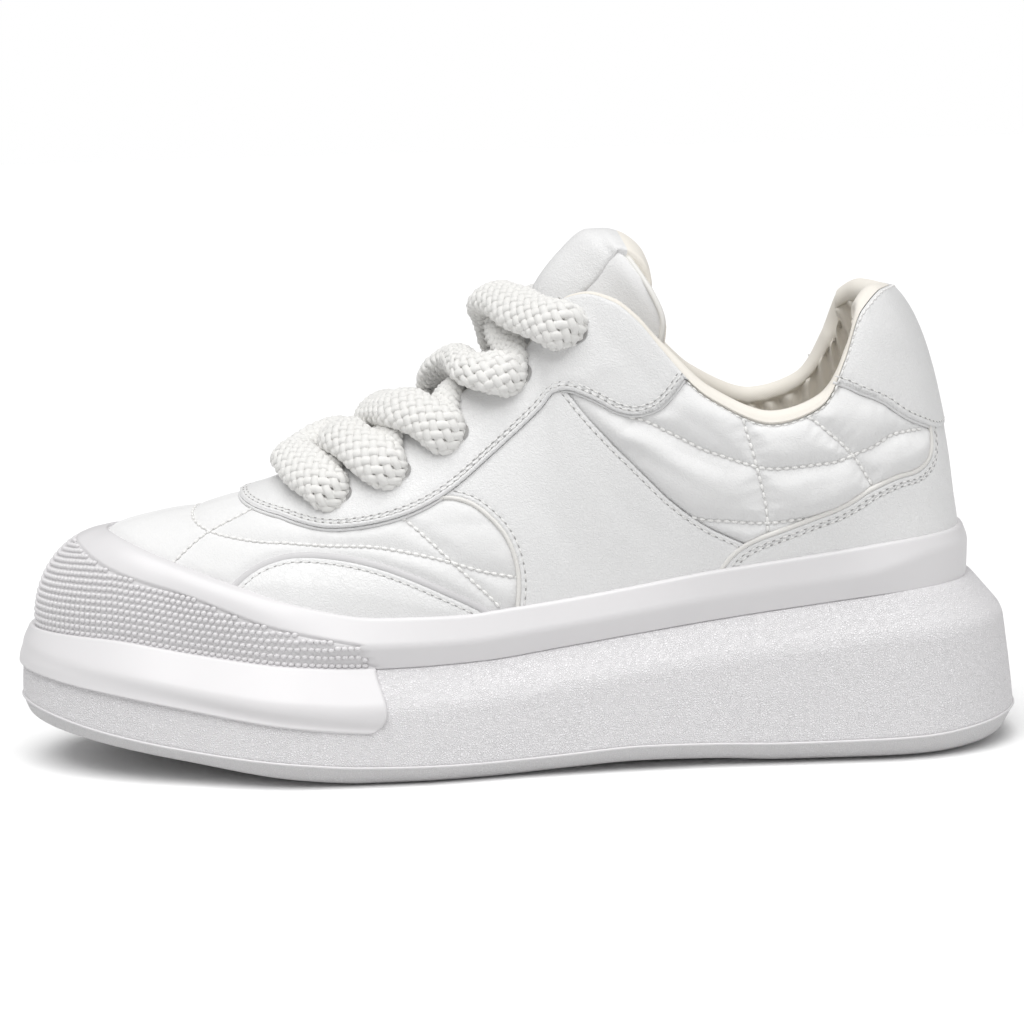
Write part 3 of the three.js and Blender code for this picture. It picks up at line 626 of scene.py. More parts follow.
def repeatTree():
    tree, nodes = nodeTree("repeatAlong", "GeometryNodeTree", [
        ("Geometry", "Geometry", None), ("Pitch", "Float", 2.4 * mm), ("Size", "Vector", (1, 1, 1)),
        ("Place", "Vector", (0, 0, 0)), ("Finish", "Material", None),
    ], [("Geometry", "Geometry")])
    nodes.update(
        curve=addNode(tree, "GeometryNodeMeshToCurve"),
        even=addNode(tree, "GeometryNodeResampleCurve", mode="LENGTH"),
        up=addNode(tree, "GeometryNodeInputNamedAttribute", {"Name": "up"}, data_type="FLOAT_VECTOR"),
        along=addNode(tree, "GeometryNodeInputTangent"),
        turned=addNode(tree, "FunctionNodeAxesToRotation", primary_axis="Z", secondary_axis="X"),
        ball=addNode(tree, "GeometryNodeMeshUVSphere", {"Segments": 8, "Rings": 5, "Radius": 1.0}),
        shape=addNode(tree, "GeometryNodeTransform"),
        placed=addNode(tree, "GeometryNodeInstanceOnPoints"),
        solid=addNode(tree, "GeometryNodeRealizeInstances"),
        done=addNode(tree, "GeometryNodeSetMaterial"),
    )
    wire(tree, nodes, [
        "start.Geometry > curve.Mesh", "curve.Curve > even.Curve", "start.Pitch > even.Length",
        "up.Attribute > turned.Primary Axis", "along.Tangent > turned.Secondary Axis",
        "ball.Mesh > shape.Geometry", "start.Size > shape.Scale", "start.Place > shape.Translation",
        "even.Curve > placed.Points", "shape.Geometry > placed.Instance", "turned.Rotation > placed.Rotation",
        "placed.Instances > solid.Geometry", "solid.Geometry > done.Geometry", "start.Finish > done.Material",
        "done.Geometry > end.Geometry",
    ])
    return tree


repeatAlong = repeatTree()


# Lines of points with their upward directions carry one row of small shapes for each set of values.
def repeatPiece(name, lines, ups, shapes, slot):
    edges, at = [], 0
    for line in lines:
        edges += [(at + k, at + k + 1) for k in range(len(line) - 1)]
        at += len(line)
    mesh = bpy.data.meshes.new(name + "Lines")
    mesh.from_pydata((np.concatenate(lines) * mm).tolist(), edges, [])
    mesh.attributes.new("up", "FLOAT_VECTOR", "POINT").data.foreach_set("vector", np.concatenate(ups).ravel())
    guide = bpy.data.objects.new(name + "Lines", mesh)
    bpy.context.collection.objects.link(guide)
    piece, joined = bpy.data.meshes.new(name), bmesh.new()
    for k, values in enumerate(shapes):
        modifier = guide.modifiers.new("repeat", "NODES")
        modifier.node_group = repeatAlong
        for item in repeatAlong.interface.items_tree:
            if item.in_out == "INPUT" and item.name in values:
                modifier[item.identifier] = values[item.name]
        bpy.context.view_layer.update()
        solid = bpy.data.meshes.new_from_object(guide.evaluated_get(bpy.context.evaluated_depsgraph_get()))
        guide.modifiers.clear()
        if "up" in solid.attributes:
            solid.attributes.remove(solid.attributes["up"])
        solid.polygons.foreach_set("material_index", np.full(len(solid.polygons), k, np.int32))
        joined.from_mesh(solid)
        bpy.data.meshes.remove(solid)
        piece.materials.append(values["Finish"])
    joined.to_mesh(piece)
    joined.free()
    piece.shade_smooth()
    bpy.data.objects.remove(guide)
    dress(name, piece, slot)


def inMetres(size):
    return tuple(v * mm for v in size)


# Sidewall and toe cap.

band = {  # pairs are for round the heel, then along the sides
    "proud": 2.3, "proudToe": 0.9, "seat": 0.2, "rows": 84, "flankEnd": 96, "flankBlend": 34, "footOut": (-1.4, 0.3),
    "kneeOut": (0.4, 1.6), "kneeAt": (0.7, 0.46), "lip": 1.3, "domeFrom": -46, "domeBlend": 30, "domeLean": 0.62,
}
beads = {"size": (0.76, 0.98, 0.74), "pitch": 1.72, "across": 1.82, "seat": 0.62, "margin": 0.9,
         "end": -44.0, "endHeight": 39.2, "slant": 0.6, "recess": 0.72, "groove": 0.2}
beadTop = smooth([-126.6, -115, -91, -69, -44], [65.3, 59.2, 52.2, 44.6, 39.2])


def runUp(face):  # how far up its column each point of a grid is
    return np.concatenate([np.zeros((1, face.shape[1])), np.cumsum(length(np.diff(face, axis=0)), axis=0)])


def resample(rows, count):  # the same run of points, evenly spaced along each column
    run = runUp(rows)
    out = np.empty((count, rows.shape[1], 3))
    for k in range(rows.shape[1]):
        at = np.linspace(0, run[-1, k], count)
        for axis in range(3):
            out[:, k, axis] = np.interp(at, run[:, k], rows[:, k, axis])
    return out


def bandFace(w, side):
    end = bandEnd(w, side)
    foot = level("shelf", -0.1, 0.0, w, side)
    proud = mix(band["proudToe"], band["proud"], ease((w - 0.08) / 0.16))
    lip = onForm(w, end, side, proud)
    seat = onForm(w, end - 0.006, side, np.full(len(w), -band["seat"]))
    out = planNormal(w, side)
    tall = (lip - foot)[..., 2:3]
    # flat facets along the sides, upright round the heel
    flank = 1 - ease((stationX(w) - band["flankEnd"]) / band["flankBlend"])[..., None]
    foot = foot + out * mix(*band["footOut"], flank)
    knee = foot + out * mix(*band["kneeOut"], flank)
    knee[..., 2:3] += mix(*band["kneeAt"], flank) * tall
    facets = rounded([foot, knee, lip, seat], [0, band["lip"], band["lip"], 0], 12, 10)
    # one round dome over the toes
    lean = length((lip - foot)[..., :2])[..., None]
    foot = foot - out * mix(*band["footOut"], flank)
    low = foot + out * 0.02 * tall
    low[..., 2:3] += 0.5 * tall
    high = lip + out * lean * band["domeLean"]
    high[..., 2:3] -= 0.03 * tall
    s = np.linspace(0, 1, band["rows"])[:, None, None]
    dome = (1 - s) ** 3 * foot + 3 * (1 - s) ** 2 * s * low + 3 * (1 - s) * s * s * high + s ** 3 * lip
    dome = np.concatenate([dome[:-1], rounded([dome[-2], lip, seat], [0, 1.0, 0], 5, 1)[1:]])
    share = ease((band["domeFrom"] - foot[..., 0]) / band["domeBlend"])[None, ..., None]
    return mix(resample(facets, band["rows"]), resample(dome, band["rows"]), share)


def beadField(face):  # how far up each column the beads reach
    over = face[..., 2] > beadTop(face[..., 0])
    first = np.argmax(over, axis=0)
    run = runUp(face)
    col = np.arange(face.shape[1])
    a, b = face[first - 1, col], face[first, col]
    gapA = beadTop(a[:, 0]) - a[:, 2]
    gapB = beadTop(b[:, 0]) - b[:, 2]
    s = np.clip(gapA / np.maximum(gapA - gapB, 1e-6), 0, 1)
    return run[first - 1, col] + s * (run[first, col] - run[first - 1, col])


def gridNormal(rows, closed=False):
    across = np.roll(rows, -1, 1) - np.roll(rows, 1, 1) if closed else np.gradient(rows, axis=1)
    return unit(np.cross(np.gradient(rows, axis=0), across))


def outwardNormal(rows, w, side, closed=False):  # a grid's normals, turned to point out of the shoe
    normal = gridNormal(rows, closed)
    return normal * np.sign(np.mean(dot(normal[10], planNormal(w, side))))


def beadEnd(points):  # positive inside the beaded stretch
    return beads["end"] + beads["slant"] * (beads["endHeight"] - points[..., 2]) - points[..., 0]


def sidewall():
    face = bandFace(turnW, turnSide)
    run, top = runUp(face), beadField(face)
    normal = outwardNormal(face, turnW, turnSide, True)
    fromTop = top[None] - run
    fromEnd = beadEnd(face)
    within = ease(fromTop / 0.5 + 0.5) * ease(fromEnd / 0.8 + 0.5) * ease((run - 0.2) / 0.4)
    line = np.exp(-(fromTop / 0.42) ** 2) * ease(fromEnd / 0.8 + 0.5)
    line += np.exp(-(fromEnd / 0.5) ** 2) * ease(fromTop / 0.5 + 0.5)
    sink = beads["recess"] * within + beads["groove"] * line
    points = np.concatenate([level("shelf", -0.1, 3.2)[None], face - normal * sink[..., None]])
    grid = {"points": points, "wrapCols": True, "flip": True}
    makePiece("foxingBand", [grid], ["rubber"], "sidewall", ["sidewall"])


def toeBeads():  # columns of beads, each one starting at the foot, so that rows line up too
    half = stationAt(-37.0)
    w = spaced(np.linspace(0, half, 600), np.full(600, 0.06), beads["across"])[0]
    ws = np.concatenate([w[::-1], w[1:]])
    sides = np.concatenate([np.full(len(w), outer), np.full(len(w) - 1, inner)])
    face = bandFace(ws, sides)
    run, top = runUp(face), beadField(face)
    normal = outwardNormal(face, ws, sides)
    sunk = face - normal * beads["seat"]
    sunkRun = runUp(sunk)
    lines, ups = [], []
    pitch, parts = beads["pitch"], 6  # parts of each step along a column
    for c in range(len(ws)):
        first = np.interp(top[c], run[:, c], sunkRun[:, c]) - beads["margin"]
        count = int((first - beads["margin"] + 0.55) / pitch)
        at = beads["margin"] + pitch / parts * np.append(np.arange(parts * count + 1), parts * count + 0.3)
        points = np.stack([np.interp(at, sunkRun[:, c], sunk[:, c, axis]) for axis in range(3)], -1)
        up = unit(np.stack([np.interp(at, sunkRun[:, c], normal[:, c, axis]) for axis in range(3)], -1))
        while count > 0 and beadEnd(points[parts * count]) < beads["margin"]:
            count -= 1
        if count > 0:
            lines.append(points[:parts * count + 1])
            ups.append(up[:parts * count + 1])
    repeatPiece("toeCapBeads", lines, ups, [
        {"Pitch": pitch * mm, "Size": inMetres(beads["size"]), "Finish": finishes["rubber"]},
    ], "sidewall")


sidewall()
toeBeads()
print("sidewall and beads ready")

# Toe bumper.

bumper = {"top": -39.4, "bulge": -36.6, "proud": 1.3, "edge": 0.9, "corner": 6.0, "tall": 20.0, "steps": 150,
          "rows": 44, "knee": 1.0, "scoop": 0.55, "lip": 0.5, "skirt": 0.5}
bumperFoot = smooth([-145, -116, -90, -62, -44, -30], [29.5, 25.2, 21.2, 17.2, 15.4, 14.6])


def bumperRows(w, side):
    rim, crease, shelf = (outline(name, w, side) for name in ("rim", "crease", "shelf"))
    footZ = bumperFoot(stationX(w))
    foot = mix(rim, crease, ((footZ - rim[..., 2]) / (crease[..., 2] - rim[..., 2]))[..., None])
    nearTop = mix(crease, shelf, 0.995)
    knee = crease + planNormal(w, side) * bumper["knee"]
    return resample(rounded([foot, knee, nearTop], [0, 1.8, 0], 10, 12), bumper["rows"])


def toeBumper():
    v = np.linspace(0, 1, bumper["rows"])
    end = np.where(v < 0.3, bumper["bulge"], mix(bumper["bulge"], bumper["top"], ease((v - 0.3) / 0.7)))
    low = np.clip(1 - v * bumper["tall"] / bumper["corner"], 0, 1)
    end = end - bumper["corner"] * (1 - np.sqrt(np.maximum(1 - low ** 2, 0)))
    u = np.concatenate([np.linspace(0, 0.97, bumper["steps"]), np.linspace(0.972, 1, 16)])
    us = np.concatenate([-u[::-1], u[1:]])
    side = np.where(us < 0, outer, inner)
    face = np.empty((len(v), len(us), 3))
    toEnd = np.empty((len(v), len(us)))
    for k in range(len(v)):
        w = np.abs(us) * stationAt(end[k])
        face[k] = bumperRows(w, side)[k]
        toEnd[k] = end[k] - stationX(w)
    run = runUp(face)
    toEdge = np.minimum(np.minimum(run, run[-1:] - run), toEnd * 0.95)
    normal = outwardNormal(face, np.abs(us) * stationAt(-40), side)
    r = bumper["edge"]
    inset = np.clip(toEdge, 0, r)
    height = bumper["proud"] - r + np.sqrt(np.maximum(r * r - (r - inset) ** 2, 0))
    height += bumper["lip"] * np.exp(-(run / 1.6) ** 2) - bumper["scoop"] * np.exp(-((run - 4) / 1.8) ** 2)
    skirt = np.pad(face - normal * bumper["skirt"], ((1, 1), (1, 1), (0, 0)), "edge")
    skirt[1:-1, 1:-1] = face + normal * height[..., None]
    makePiece("toeBumperStrip", [{"points": skirt}], ["rubber"], "platform", ["toe_bumper"])


toeBumper()
print("bumper ready")

# Lines on the upper.

# Pairs of (w, t) for the outer side, mirrored on the inner one: w runs from toe to heel, t from sole to top edge.
seams = {
    "eyestay": [(0.333, 1.0), (0.343, 0.84), (0.358, 0.732), (0.378, 0.655), (0.398, 0.614), (0.418, 0.592),
                (0.436, 0.585), (0.449, 0.594), (0.461, 0.609), (0.495, 0.692), (0.512, 0.73), (0.523, 0.739),
                (0.538, 0.705), (0.555, 0.675), (0.569, 0.652), (0.579, 0.656), (0.589, 0.70), (0.606, 0.849),
                (0.6165, 1.0)],
    "panelFront": [(0.452, 0.63), (0.461, 0.610), (0.473, 0.565), (0.484, 0.491), (0.495, 0.401), (0.5005, 0.320),
                   (0.503, 0.234), (0.501, 0.139), (0.499, 0.05)],
    "panelRear": [(0.532, 0.745), (0.5375, 0.697), (0.554, 0.603), (0.577, 0.512), (0.602, 0.437), (0.633, 0.372),
                  (0.6505, 0.330), (0.672, 0.262)],
    "counter": [(0.627, 0.10), (0.6315, 0.209), (0.6435, 0.297), (0.660, 0.366), (0.6875, 0.405), (0.745, 0.392),
                (0.824, 0.334), (0.8545, 0.338), (0.8805, 0.362), (0.892, 0.40), (0.8935, 0.45)],
    "heelTab": [(0.732, 1.0), (0.740, 0.93), (0.768, 0.748), (0.793, 0.632), (0.819, 0.544), (0.842, 0.492),
                (0.865, 0.462), (0.895, 0.436), (0.93, 0.43), (1.0, 0.43)],
    "quiltLong": [(0.285, 1.0), (0.296, 0.814), (0.312, 0.708), (0.338, 0.624), (0.363, 0.573), (0.399, 0.541),
                  (0.421, 0.503), (0.434, 0.462), (0.455, 0.391), (0.478, 0.308), (0.503, 0.243)],
    "quiltCross": [(0.437, 0.590), (0.442, 0.545), (0.453, 0.442), (0.470, 0.305), (0.492, 0.152), (0.497, 0.10)],
    "quiltToe": [(0.351, 0.80), (0.346, 0.782), (0.313, 0.703), (0.285, 0.59), (0.258, 0.479), (0.238, 0.40)],
    "wing": [(0.312, 0.32), (0.322, 0.374), (0.337, 0.444), (0.352, 0.487), (0.370, 0.500), (0.397, 0.484),
             (0.419, 0.421), (0.443, 0.320), (0.461, 0.239), (0.4775, 0.172), (0.487, 0.12)],
    "rearAcross": [(0.578, 0.655), (0.595, 0.682), (0.618, 0.706), (0.656, 0.722), (0.681, 0.710), (0.709, 0.660),
                   (0.766, 0.520), (0.815, 0.472), (0.863, 0.447)],
    "rearUpright": [(0.649, 1.0), (0.652, 0.905), (0.656, 0.80), (0.660, 0.66), (0.664, 0.521), (0.664, 0.375)],
    "rearSlant": [(0.690, 1.0), (0.700, 0.93), (0.720, 0.783), (0.746, 0.549), (0.757, 0.436), (0.765, 0.37)],
    "rearLow": [(0.615, 0.412), (0.630, 0.425), (0.6465, 0.437), (0.670, 0.444), (0.6875, 0.437), (0.70, 0.41)],
    "facingTop": [(0.44, 1.0), (0.47, 1.0), (0.50, 1.0), (0.538, 1.0)],
}
quiltSeams = ["quiltLong", "quiltCross", "quiltToe", "rearAcross", "rearUpright", "rearSlant", "rearLow"]
edgeSeams = ["eyestay", "panelFront", "panelRear", "counter", "heelTab", "wing"]


lineStep, lineSoftness = 0.5, 3.2  # in millimetres
flatSize = [330, 95]  # the length and rise of the upper's side, laid flat


def softCurve(stops, weight, power, count):  # a soft curve through the stops, with count steps between each pair
    p = np.array(stops, float)
    q = np.concatenate([[2 * p[0] - p[1]], p, [2 * p[-1] - p[-2]]])
    knots = np.concatenate([[0], np.cumsum(length((q[1:] - q[:-1]) * weight) ** power)])
    rows = []
    for k in range(1, len(q) - 2):
        a, b, c, d = knots[k - 1:k + 3]
        s = np.linspace(b, c, count, endpoint=False)[:, None]
        a1 = ((b - s) * q[k - 1] + (s - a) * q[k]) / (b - a)
        a2 = ((c - s) * q[k] + (s - b) * q[k + 1]) / (c - b)
        a3 = ((d - s) * q[k + 1] + (s - c) * q[k + 2]) / (d - c)
        b1 = ((c - s) * a1 + (s - a) * a2) / (c - a)
        b2 = ((d - s) * a2 + (s - b) * a3) / (d - b)
        rows.append(((c - s) * b1 + (s - b) * b2) / (c - b))
    return np.concatenate(rows + [p[-1:]])


def through(name, step, side=outer):  # an even run of (w, t) along a seam
    line = softCurve(seams[name], flatSize, 0.7, 24)
    line = spaced(line[:, 0], line[:, 1], lineStep, side)
    return spaced(*(softened(v, lineSoftness / lineStep) for v in line), step, side)


def softened(values, sigma):  # evens out a run of values, its ends held
    reach = min(int(3 * sigma), len(values) - 1)
    before = 2 * values[0] - values[reach:0:-1]
    after = 2 * values[-1] - values[-2:-reach - 2:-1]
    weights = np.exp(-np.arange(-reach, reach + 1) ** 2 / (2 * sigma ** 2))
    return np.convolve(np.concatenate([before, values, after]), weights / weights.sum(), "valid")


def inside(points, polygon):
    x, y = points[:, 0, None], points[:, 1, None]
    a, b = polygon, np.roll(polygon, -1, 0)
    crosses = (a[None, :, 1] > y) != (b[None, :, 1] > y)
    with np.errstate(divide="ignore", invalid="ignore"):
        at = (b[None, :, 0] - a[None, :, 0]) * (y - a[None, :, 1]) / (b[None, :, 1] - a[None, :, 1]) + a[None, :, 0]
    return (np.sum(crosses & (x < at), axis=1) % 2) == 1


# How far each point is from a set of lines, and how far along them the nearest spot lies.
def nearest(points, lines):
    targets = np.concatenate(lines)
    tangents = np.concatenate([unit(np.gradient(line, axis=0)) for line in lines])
    runs = np.concatenate([runAlong(line) + 37.0 * k for k, line in enumerate(lines)])
    tree = treeOf(targets)
    index = np.array([tree.find(p)[1] for p in points])
    away = points - targets[index]
    along = np.clip(dot(away, tangents[index]), -0.2, 0.2)
    return length(away - tangents[index] * along[:, None]), runs[index] + along


flatW = np.linspace(-0.01, 1.01, 1200)
flatRun = runAlong(formPoint(flatW, 0.4, outer))


def toFlat(w, t):
    return np.stack([np.interp(w, flatW, flatRun), np.asarray(t) * flatSize[1]], -1)


def fromFlat(p):
    return np.interp(p[:, 0], flatRun, flatW), p[:, 1] / flatSize[1]


# Triangles over a bordered stretch of the form, with rows of points along its edge and its lines.
def patch(border, side, spacing, lines=(), offsets=(0.0,), rings=(0.3, 0.8, 1.5)):
    edge = toFlat(*border)
    after, step = np.roll(edge, -1, 0), np.roll(edge, -1, 0) - np.roll(edge, 1, 0)
    clockwise = np.sum(edge[:, 0] * after[:, 1] - after[:, 0] * edge[:, 1]) < 0
    normal = unit(np.stack([-step[:, 1], step[:, 0]], -1)) * (-1 if clockwise else 1)
    extra = [edge + normal * gap for gap in rings]
    for line in lines:
        for gap in offsets:
            extra.append(toFlat(*(line if gap == 0 else shiftLine(*line, side, np.full(len(line[0]), gap)))))
    low, high = edge.min(0), edge.max(0)
    field = []
    for k, y in enumerate(np.arange(low[1], high[1], spacing * 0.87)):
        x = np.arange(low[0] + (k % 2) * spacing / 2, high[0], spacing)
        field.append(np.stack([x, np.full(len(x), y)], -1))

    def keepClear(points, others, gap):
        points = points[inside(points, edge)]
        tree = treeOf(np.pad(others, ((0, 0), (0, 1))))
        return points[[tree.find((*p, 0))[2] > gap for p in points]]

    extra = keepClear(np.concatenate(extra), edge, 0.2)
    field = keepClear(np.concatenate(field), np.concatenate([edge, extra]), spacing * 0.6)
    points = np.concatenate([edge, extra, field])
    found = geometry.delaunay_2d_cdt([Vector(p) for p in points], [], [list(range(len(edge)))], 1, 1e-4)
    flat = np.array([tuple(p) for p in found[0]])
    w, t = fromFlat(flat)
    onEdge = [k for k, source in enumerate(found[3]) if source and min(source) < len(edge)]
    order = sorted(onEdge, key=lambda k: min(s for s in found[3][k]))
    return {"w": w, "t": t, "faces": [list(f) for f in found[2]], "loop": order}


def meshFrom(name, parts, finish, *rest):  # patches become one piece
    faces, at = [], 0
    for part in parts:
        faces += [[at + k for k in (reversed(face) if part.get("flip") else face)] for face in part["faces"]]
        at += len(part["points"])
    points = np.concatenate([part["points"] for part in parts])
    addPiece(name, points, faces, [0] * len(faces), [finish], False, *rest)


def seamLine(name, side):
    w, t = through(name, 0.25, side)
    return onForm(w, t, side, np.zeros(len(w)))


# Soft creases, each one a trough or ridge between two points of the upper.

creases = [  # w, t of both ends, half width and height in millimetres
    (0.548, 0.60, 0.600, 0.625, 2.4, 0.9), (0.560, 0.565, 0.612, 0.56, 2.2, -0.7),
    (0.585, 0.56, 0.632, 0.60, 2.6, 0.6), (0.600, 0.645, 0.640, 0.66, 2.0, -0.5),
    (0.612, 0.80, 0.646, 0.77, 2.2, -0.6), (0.620, 0.88, 0.645, 0.92, 2.2, 0.5),
    (0.668, 0.86, 0.694, 0.80, 2.4, -0.4), (0.672, 0.60, 0.720, 0.62, 2.6, 0.4),
    (0.745, 0.82, 0.790, 0.63, 2.2, -0.5), (0.775, 0.50, 0.840, 0.44, 2.2, 0.6),
    (0.790, 0.57, 0.850, 0.475, 2.0, -0.5), (0.800, 0.40, 0.868, 0.40, 2.4, 0.5),
    (0.690, 0.50, 0.740, 0.45, 2.2, 0.35), (0.634, 0.50, 0.655, 0.56, 2.2, -0.4),
    (0.462, 0.50, 0.492, 0.43, 1.8, -0.35), (0.450, 0.50, 0.468, 0.42, 1.8, 0.3),
    (0.375, 0.60, 0.392, 0.55, 1.6, -0.25), (0.408, 0.44, 0.450, 0.36, 2.0, 0.35),
    (0.478, 0.28, 0.490, 0.20, 1.6, 0.3), (0.300, 0.56, 0.330, 0.50, 3.2, -0.25),
    (0.225, 0.86, 0.255, 0.62, 4.0, -0.25), (0.180, 0.80, 0.215, 0.56, 4.5, 0.2),
]
panelCreases = [
    (0.512, 0.50, 0.545, 0.20, 4.0, -0.35), (0.530, 0.60, 0.565, 0.30, 4.5, 0.3),
    (0.560, 0.42, 0.600, 0.24, 4.0, -0.25), (0.470, 0.66, 0.500, 0.76, 2.6, -0.3),
    (0.505, 0.80, 0.540, 0.87, 2.6, -0.35), (0.520, 0.77, 0.570, 0.80, 2.8, 0.3),
    (0.425, 0.66, 0.455, 0.72, 2.4, -0.25), (0.560, 0.90, 0.600, 0.80, 3.0, -0.3),
    (0.760, 0.30, 0.830, 0.24, 5.0, -0.25), (0.930, 0.36, 0.980, 0.20, 5.0, -0.3),
    (0.850, 0.72, 0.900, 0.60, 4.0, -0.25), (0.820, 0.86, 0.870, 0.70, 3.4, 0.2),
    (0.345, 0.42, 0.420, 0.30, 4.0, 0.25), (0.380, 0.36, 0.440, 0.22, 3.6, -0.2),
]


def creaseHeight(points, side, table):
    total = np.zeros(len(points))
    for w0, t0, w1, t1, width, height in table:
        a, b = formPoint(w0, t0, side), formPoint(w1, t1, side)
        span = b - a
        s = np.clip(((points - a) @ span) / (span @ span), 0, 1)
        away = length(points - (a + s[:, None] * span))
        total += height * np.exp(-(away / width) ** 2) * np.sin(np.pi * mix(0.12, 0.88, s)) ** 0.8
    return total


# The quilted base.

collar = {"over": 0.35, "overHeel": 0.55, "proud": 0.3, "proudHeel": 0.9, "from": 0.528, "blend": 0.014,
          "throatFrom": 0.385, "heelFrom": 0.592}


def rollShape(w):  # how far the collar's roll reaches down the outside, and how far it stands off
    share = ease((w - collar["heelFrom"]) / 0.03)
    return mix(collar["over"], collar["overHeel"], share), mix(collar["proud"], collar["proudHeel"], share)


def rollFoot(w, side):  # the t where the roll starts
    w = np.asarray(w, float)
    one = np.ones(np.shape(w))
    over, proud = rollShape(w)
    radius = wallAt(w, one) / 2 + proud
    drop = (over + radius * 0.45) * ease((w - collar["from"]) / collar["blend"])
    tall = length(formPoint(w, one, side) - formPoint(w, one - 0.02, side)) / 0.02
    return 1 - drop / tall


quilt = {"front": 1.7, "rear": 4.2, "toe": 0.8, "softness": 3.4, "pucker": 0.2, "under": -0.5, "spacing": 1.15,
         "tape": 1.9, "fade": 3.4}


def covered(w, t, side):  # whether a leather panel hides this spot
    at = toFlat(w, t)
    hidden = np.zeros(len(at), bool)
    for border in panelBorders[side].values():
        hidden |= inside(at, toFlat(*border))
    return hidden


def panelBorder(side):
    step, apart = 0.9, 0.35
    eye, front, rear, counter, tab, wing = (through(name, step, side) for name in edgeSeams)
    topW = evenStations(150, 0.9, eye[0][-1], eye[0][0])

    def along(w0, w1):
        w = np.linspace(w0, w1, max(int(abs(w1 - w0) * flatSize[0] / step), 2))
        return w, bandEnd(w, side) - hem

    def loop(*runs):
        ws, ts = np.concatenate([r[0] for r in runs]), np.concatenate([r[1] for r in runs])
        p = onForm(ws, ts, side, 0)
        keep = [0]
        for k in range(1, len(p)):
            if min(length(p[k] - p[keep[-1]]), length(p[k] - p[0])) > apart:
                keep.append(k)
        return ws[keep], ts[keep]

    def cut(run):  # the part of a line above the band
        keep = run[1] > bandEnd(run[0], side) - hem
        return run[0][keep], run[1][keep]

    hem, lap, shoulder = 0.035, 0.006, 0.52  # how far panels run under the band and the roll, and up under the tab

    def cutTop(run):  # the part of a line below the collar's roll
        keep = run[1] < rollFoot(run[0], side) + lap
        return run[0][keep], run[1][keep]

    front, counter, wing = cut(front), cut(counter), cut(wing)
    tabTop = np.linspace(1.0, 0.735, 140)
    topRun = np.linspace(rear[0][0], front[0][0], 60)
    eyeLift = np.interp(topRun, eye[0][10:], eye[1][10:]) + hem
    return {
        "eyestay": loop(cutTop(eye), (topW, rollFoot(topW, side) + lap)),
        "sidePanel": loop(front, along(front[0][-1], rear[0][-1]), [v[::-1] for v in rear], (topRun, eyeLift)),
        "counter": loop(counter, (np.full(10, counter[0][-1]), np.linspace(counter[1][-1], shoulder, 10)),
                        (np.linspace(counter[0][-1], 1.0, 40), np.full(40, shoulder)),
                        (np.ones(90), np.linspace(shoulder, bandEnd(1.0, side) - hem, 90)),
                        along(1.0, counter[0][0])),
        "heelTab": loop(cutTop(tab), (np.ones(70), np.linspace(tab[1][-1], rollFoot(1.0, side), 70)),
                        (tabTop, rollFoot(tabTop, side) + lap)),
        "wing": loop(wing, along(wing[0][-1], wing[0][0])),
    }


panelBorders = {side: panelBorder(side) for side in (outer, inner)}


def baseBorder(side):
    lower = 0.05
    top = evenStations(310, 0.8)
    low = evenStations(320, 0.2)[::-1]
    heel = np.linspace(1, bandEnd(1.0, side) - lower, 84)[1:-1]
    toe = np.linspace(bandEnd(0.0, side) - lower, 1, 60)[1:-1]
    w = np.concatenate([top, np.ones(len(heel)), low, np.zeros(len(toe))])
    t = np.concatenate([np.ones(len(top)), heel, bandEnd(low, side) - lower, toe])
    return w, t


def hiddenParts(w, t, side):  # what lies under a panel, under the band, and under the collar's roll
    return (covered(np.clip(w, 0.004, 0.996), np.minimum(t, 0.995), side), t < bandEnd(w, side),
            (t > rollFoot(w, side)) & (w > collar["from"]))


cloth = {"spacing": 2.2, "scale": 50.0, "pressure": 9.0, "spare": -0.06, "stiff": 8.0, "bend": 0.6,
         "frames": 20, "reach": 1.5, "share": 0.6}


def swell(side, lines):  # how far each point of a coarse net swells off the form under pressure
    net = patch(baseBorder(side), side, cloth["spacing"], lines, (-1.6, 0.0, 1.6), (1.2,))
    w, t = net["w"], net["t"]
    ground, normal = formPoint(w, t, side), formNormal(w, t, side)
    away, _ = nearest(ground, [formPoint(*line, side) for line in lines])
    pinned = np.any(hiddenParts(w, t, side), axis=0) | (away < 0.4) | (t > 0.995) | (w < 0.002) | (w > 0.998)
    scale = cloth["scale"] * mm
    mesh = bpy.data.meshes.new("quiltNet")
    mesh.from_pydata((ground * scale).tolist(), [], [f[::-1] if side > 0 else f for f in net["faces"]])
    piece = bpy.data.objects.new("quiltNet", mesh)
    bpy.context.collection.objects.link(piece)
    piece.vertex_groups.new(name="seams").add([int(k) for k in np.flatnonzero(pinned)], 1.0, "REPLACE")
    settings = piece.modifiers.new("padding", "CLOTH").settings
    settings.vertex_group_mass = "seams"
    settings.use_pressure = True
    settings.uniform_pressure_force = cloth["pressure"]
    settings.effector_weights.gravity = 0
    settings.shrink_min = cloth["spare"]
    settings.tension_stiffness = settings.compression_stiffness = cloth["stiff"]
    settings.bending_stiffness = cloth["bend"]
    stage = bpy.context.scene
    for at in range(1, cloth["frames"] + 1):
        stage.frame_set(at)
    shaped = piece.evaluated_get(bpy.context.evaluated_depsgraph_get()).data
    moved = np.empty(len(ground) * 3)
    shaped.vertices.foreach_get("co", moved)
    rise = dot(moved.reshape(-1, 3) / scale - ground, normal)
    stage.frame_set(1)
    bpy.data.objects.remove(piece)
    bpy.data.meshes.remove(mesh)
    return ground, np.where(pinned, 0, rise)


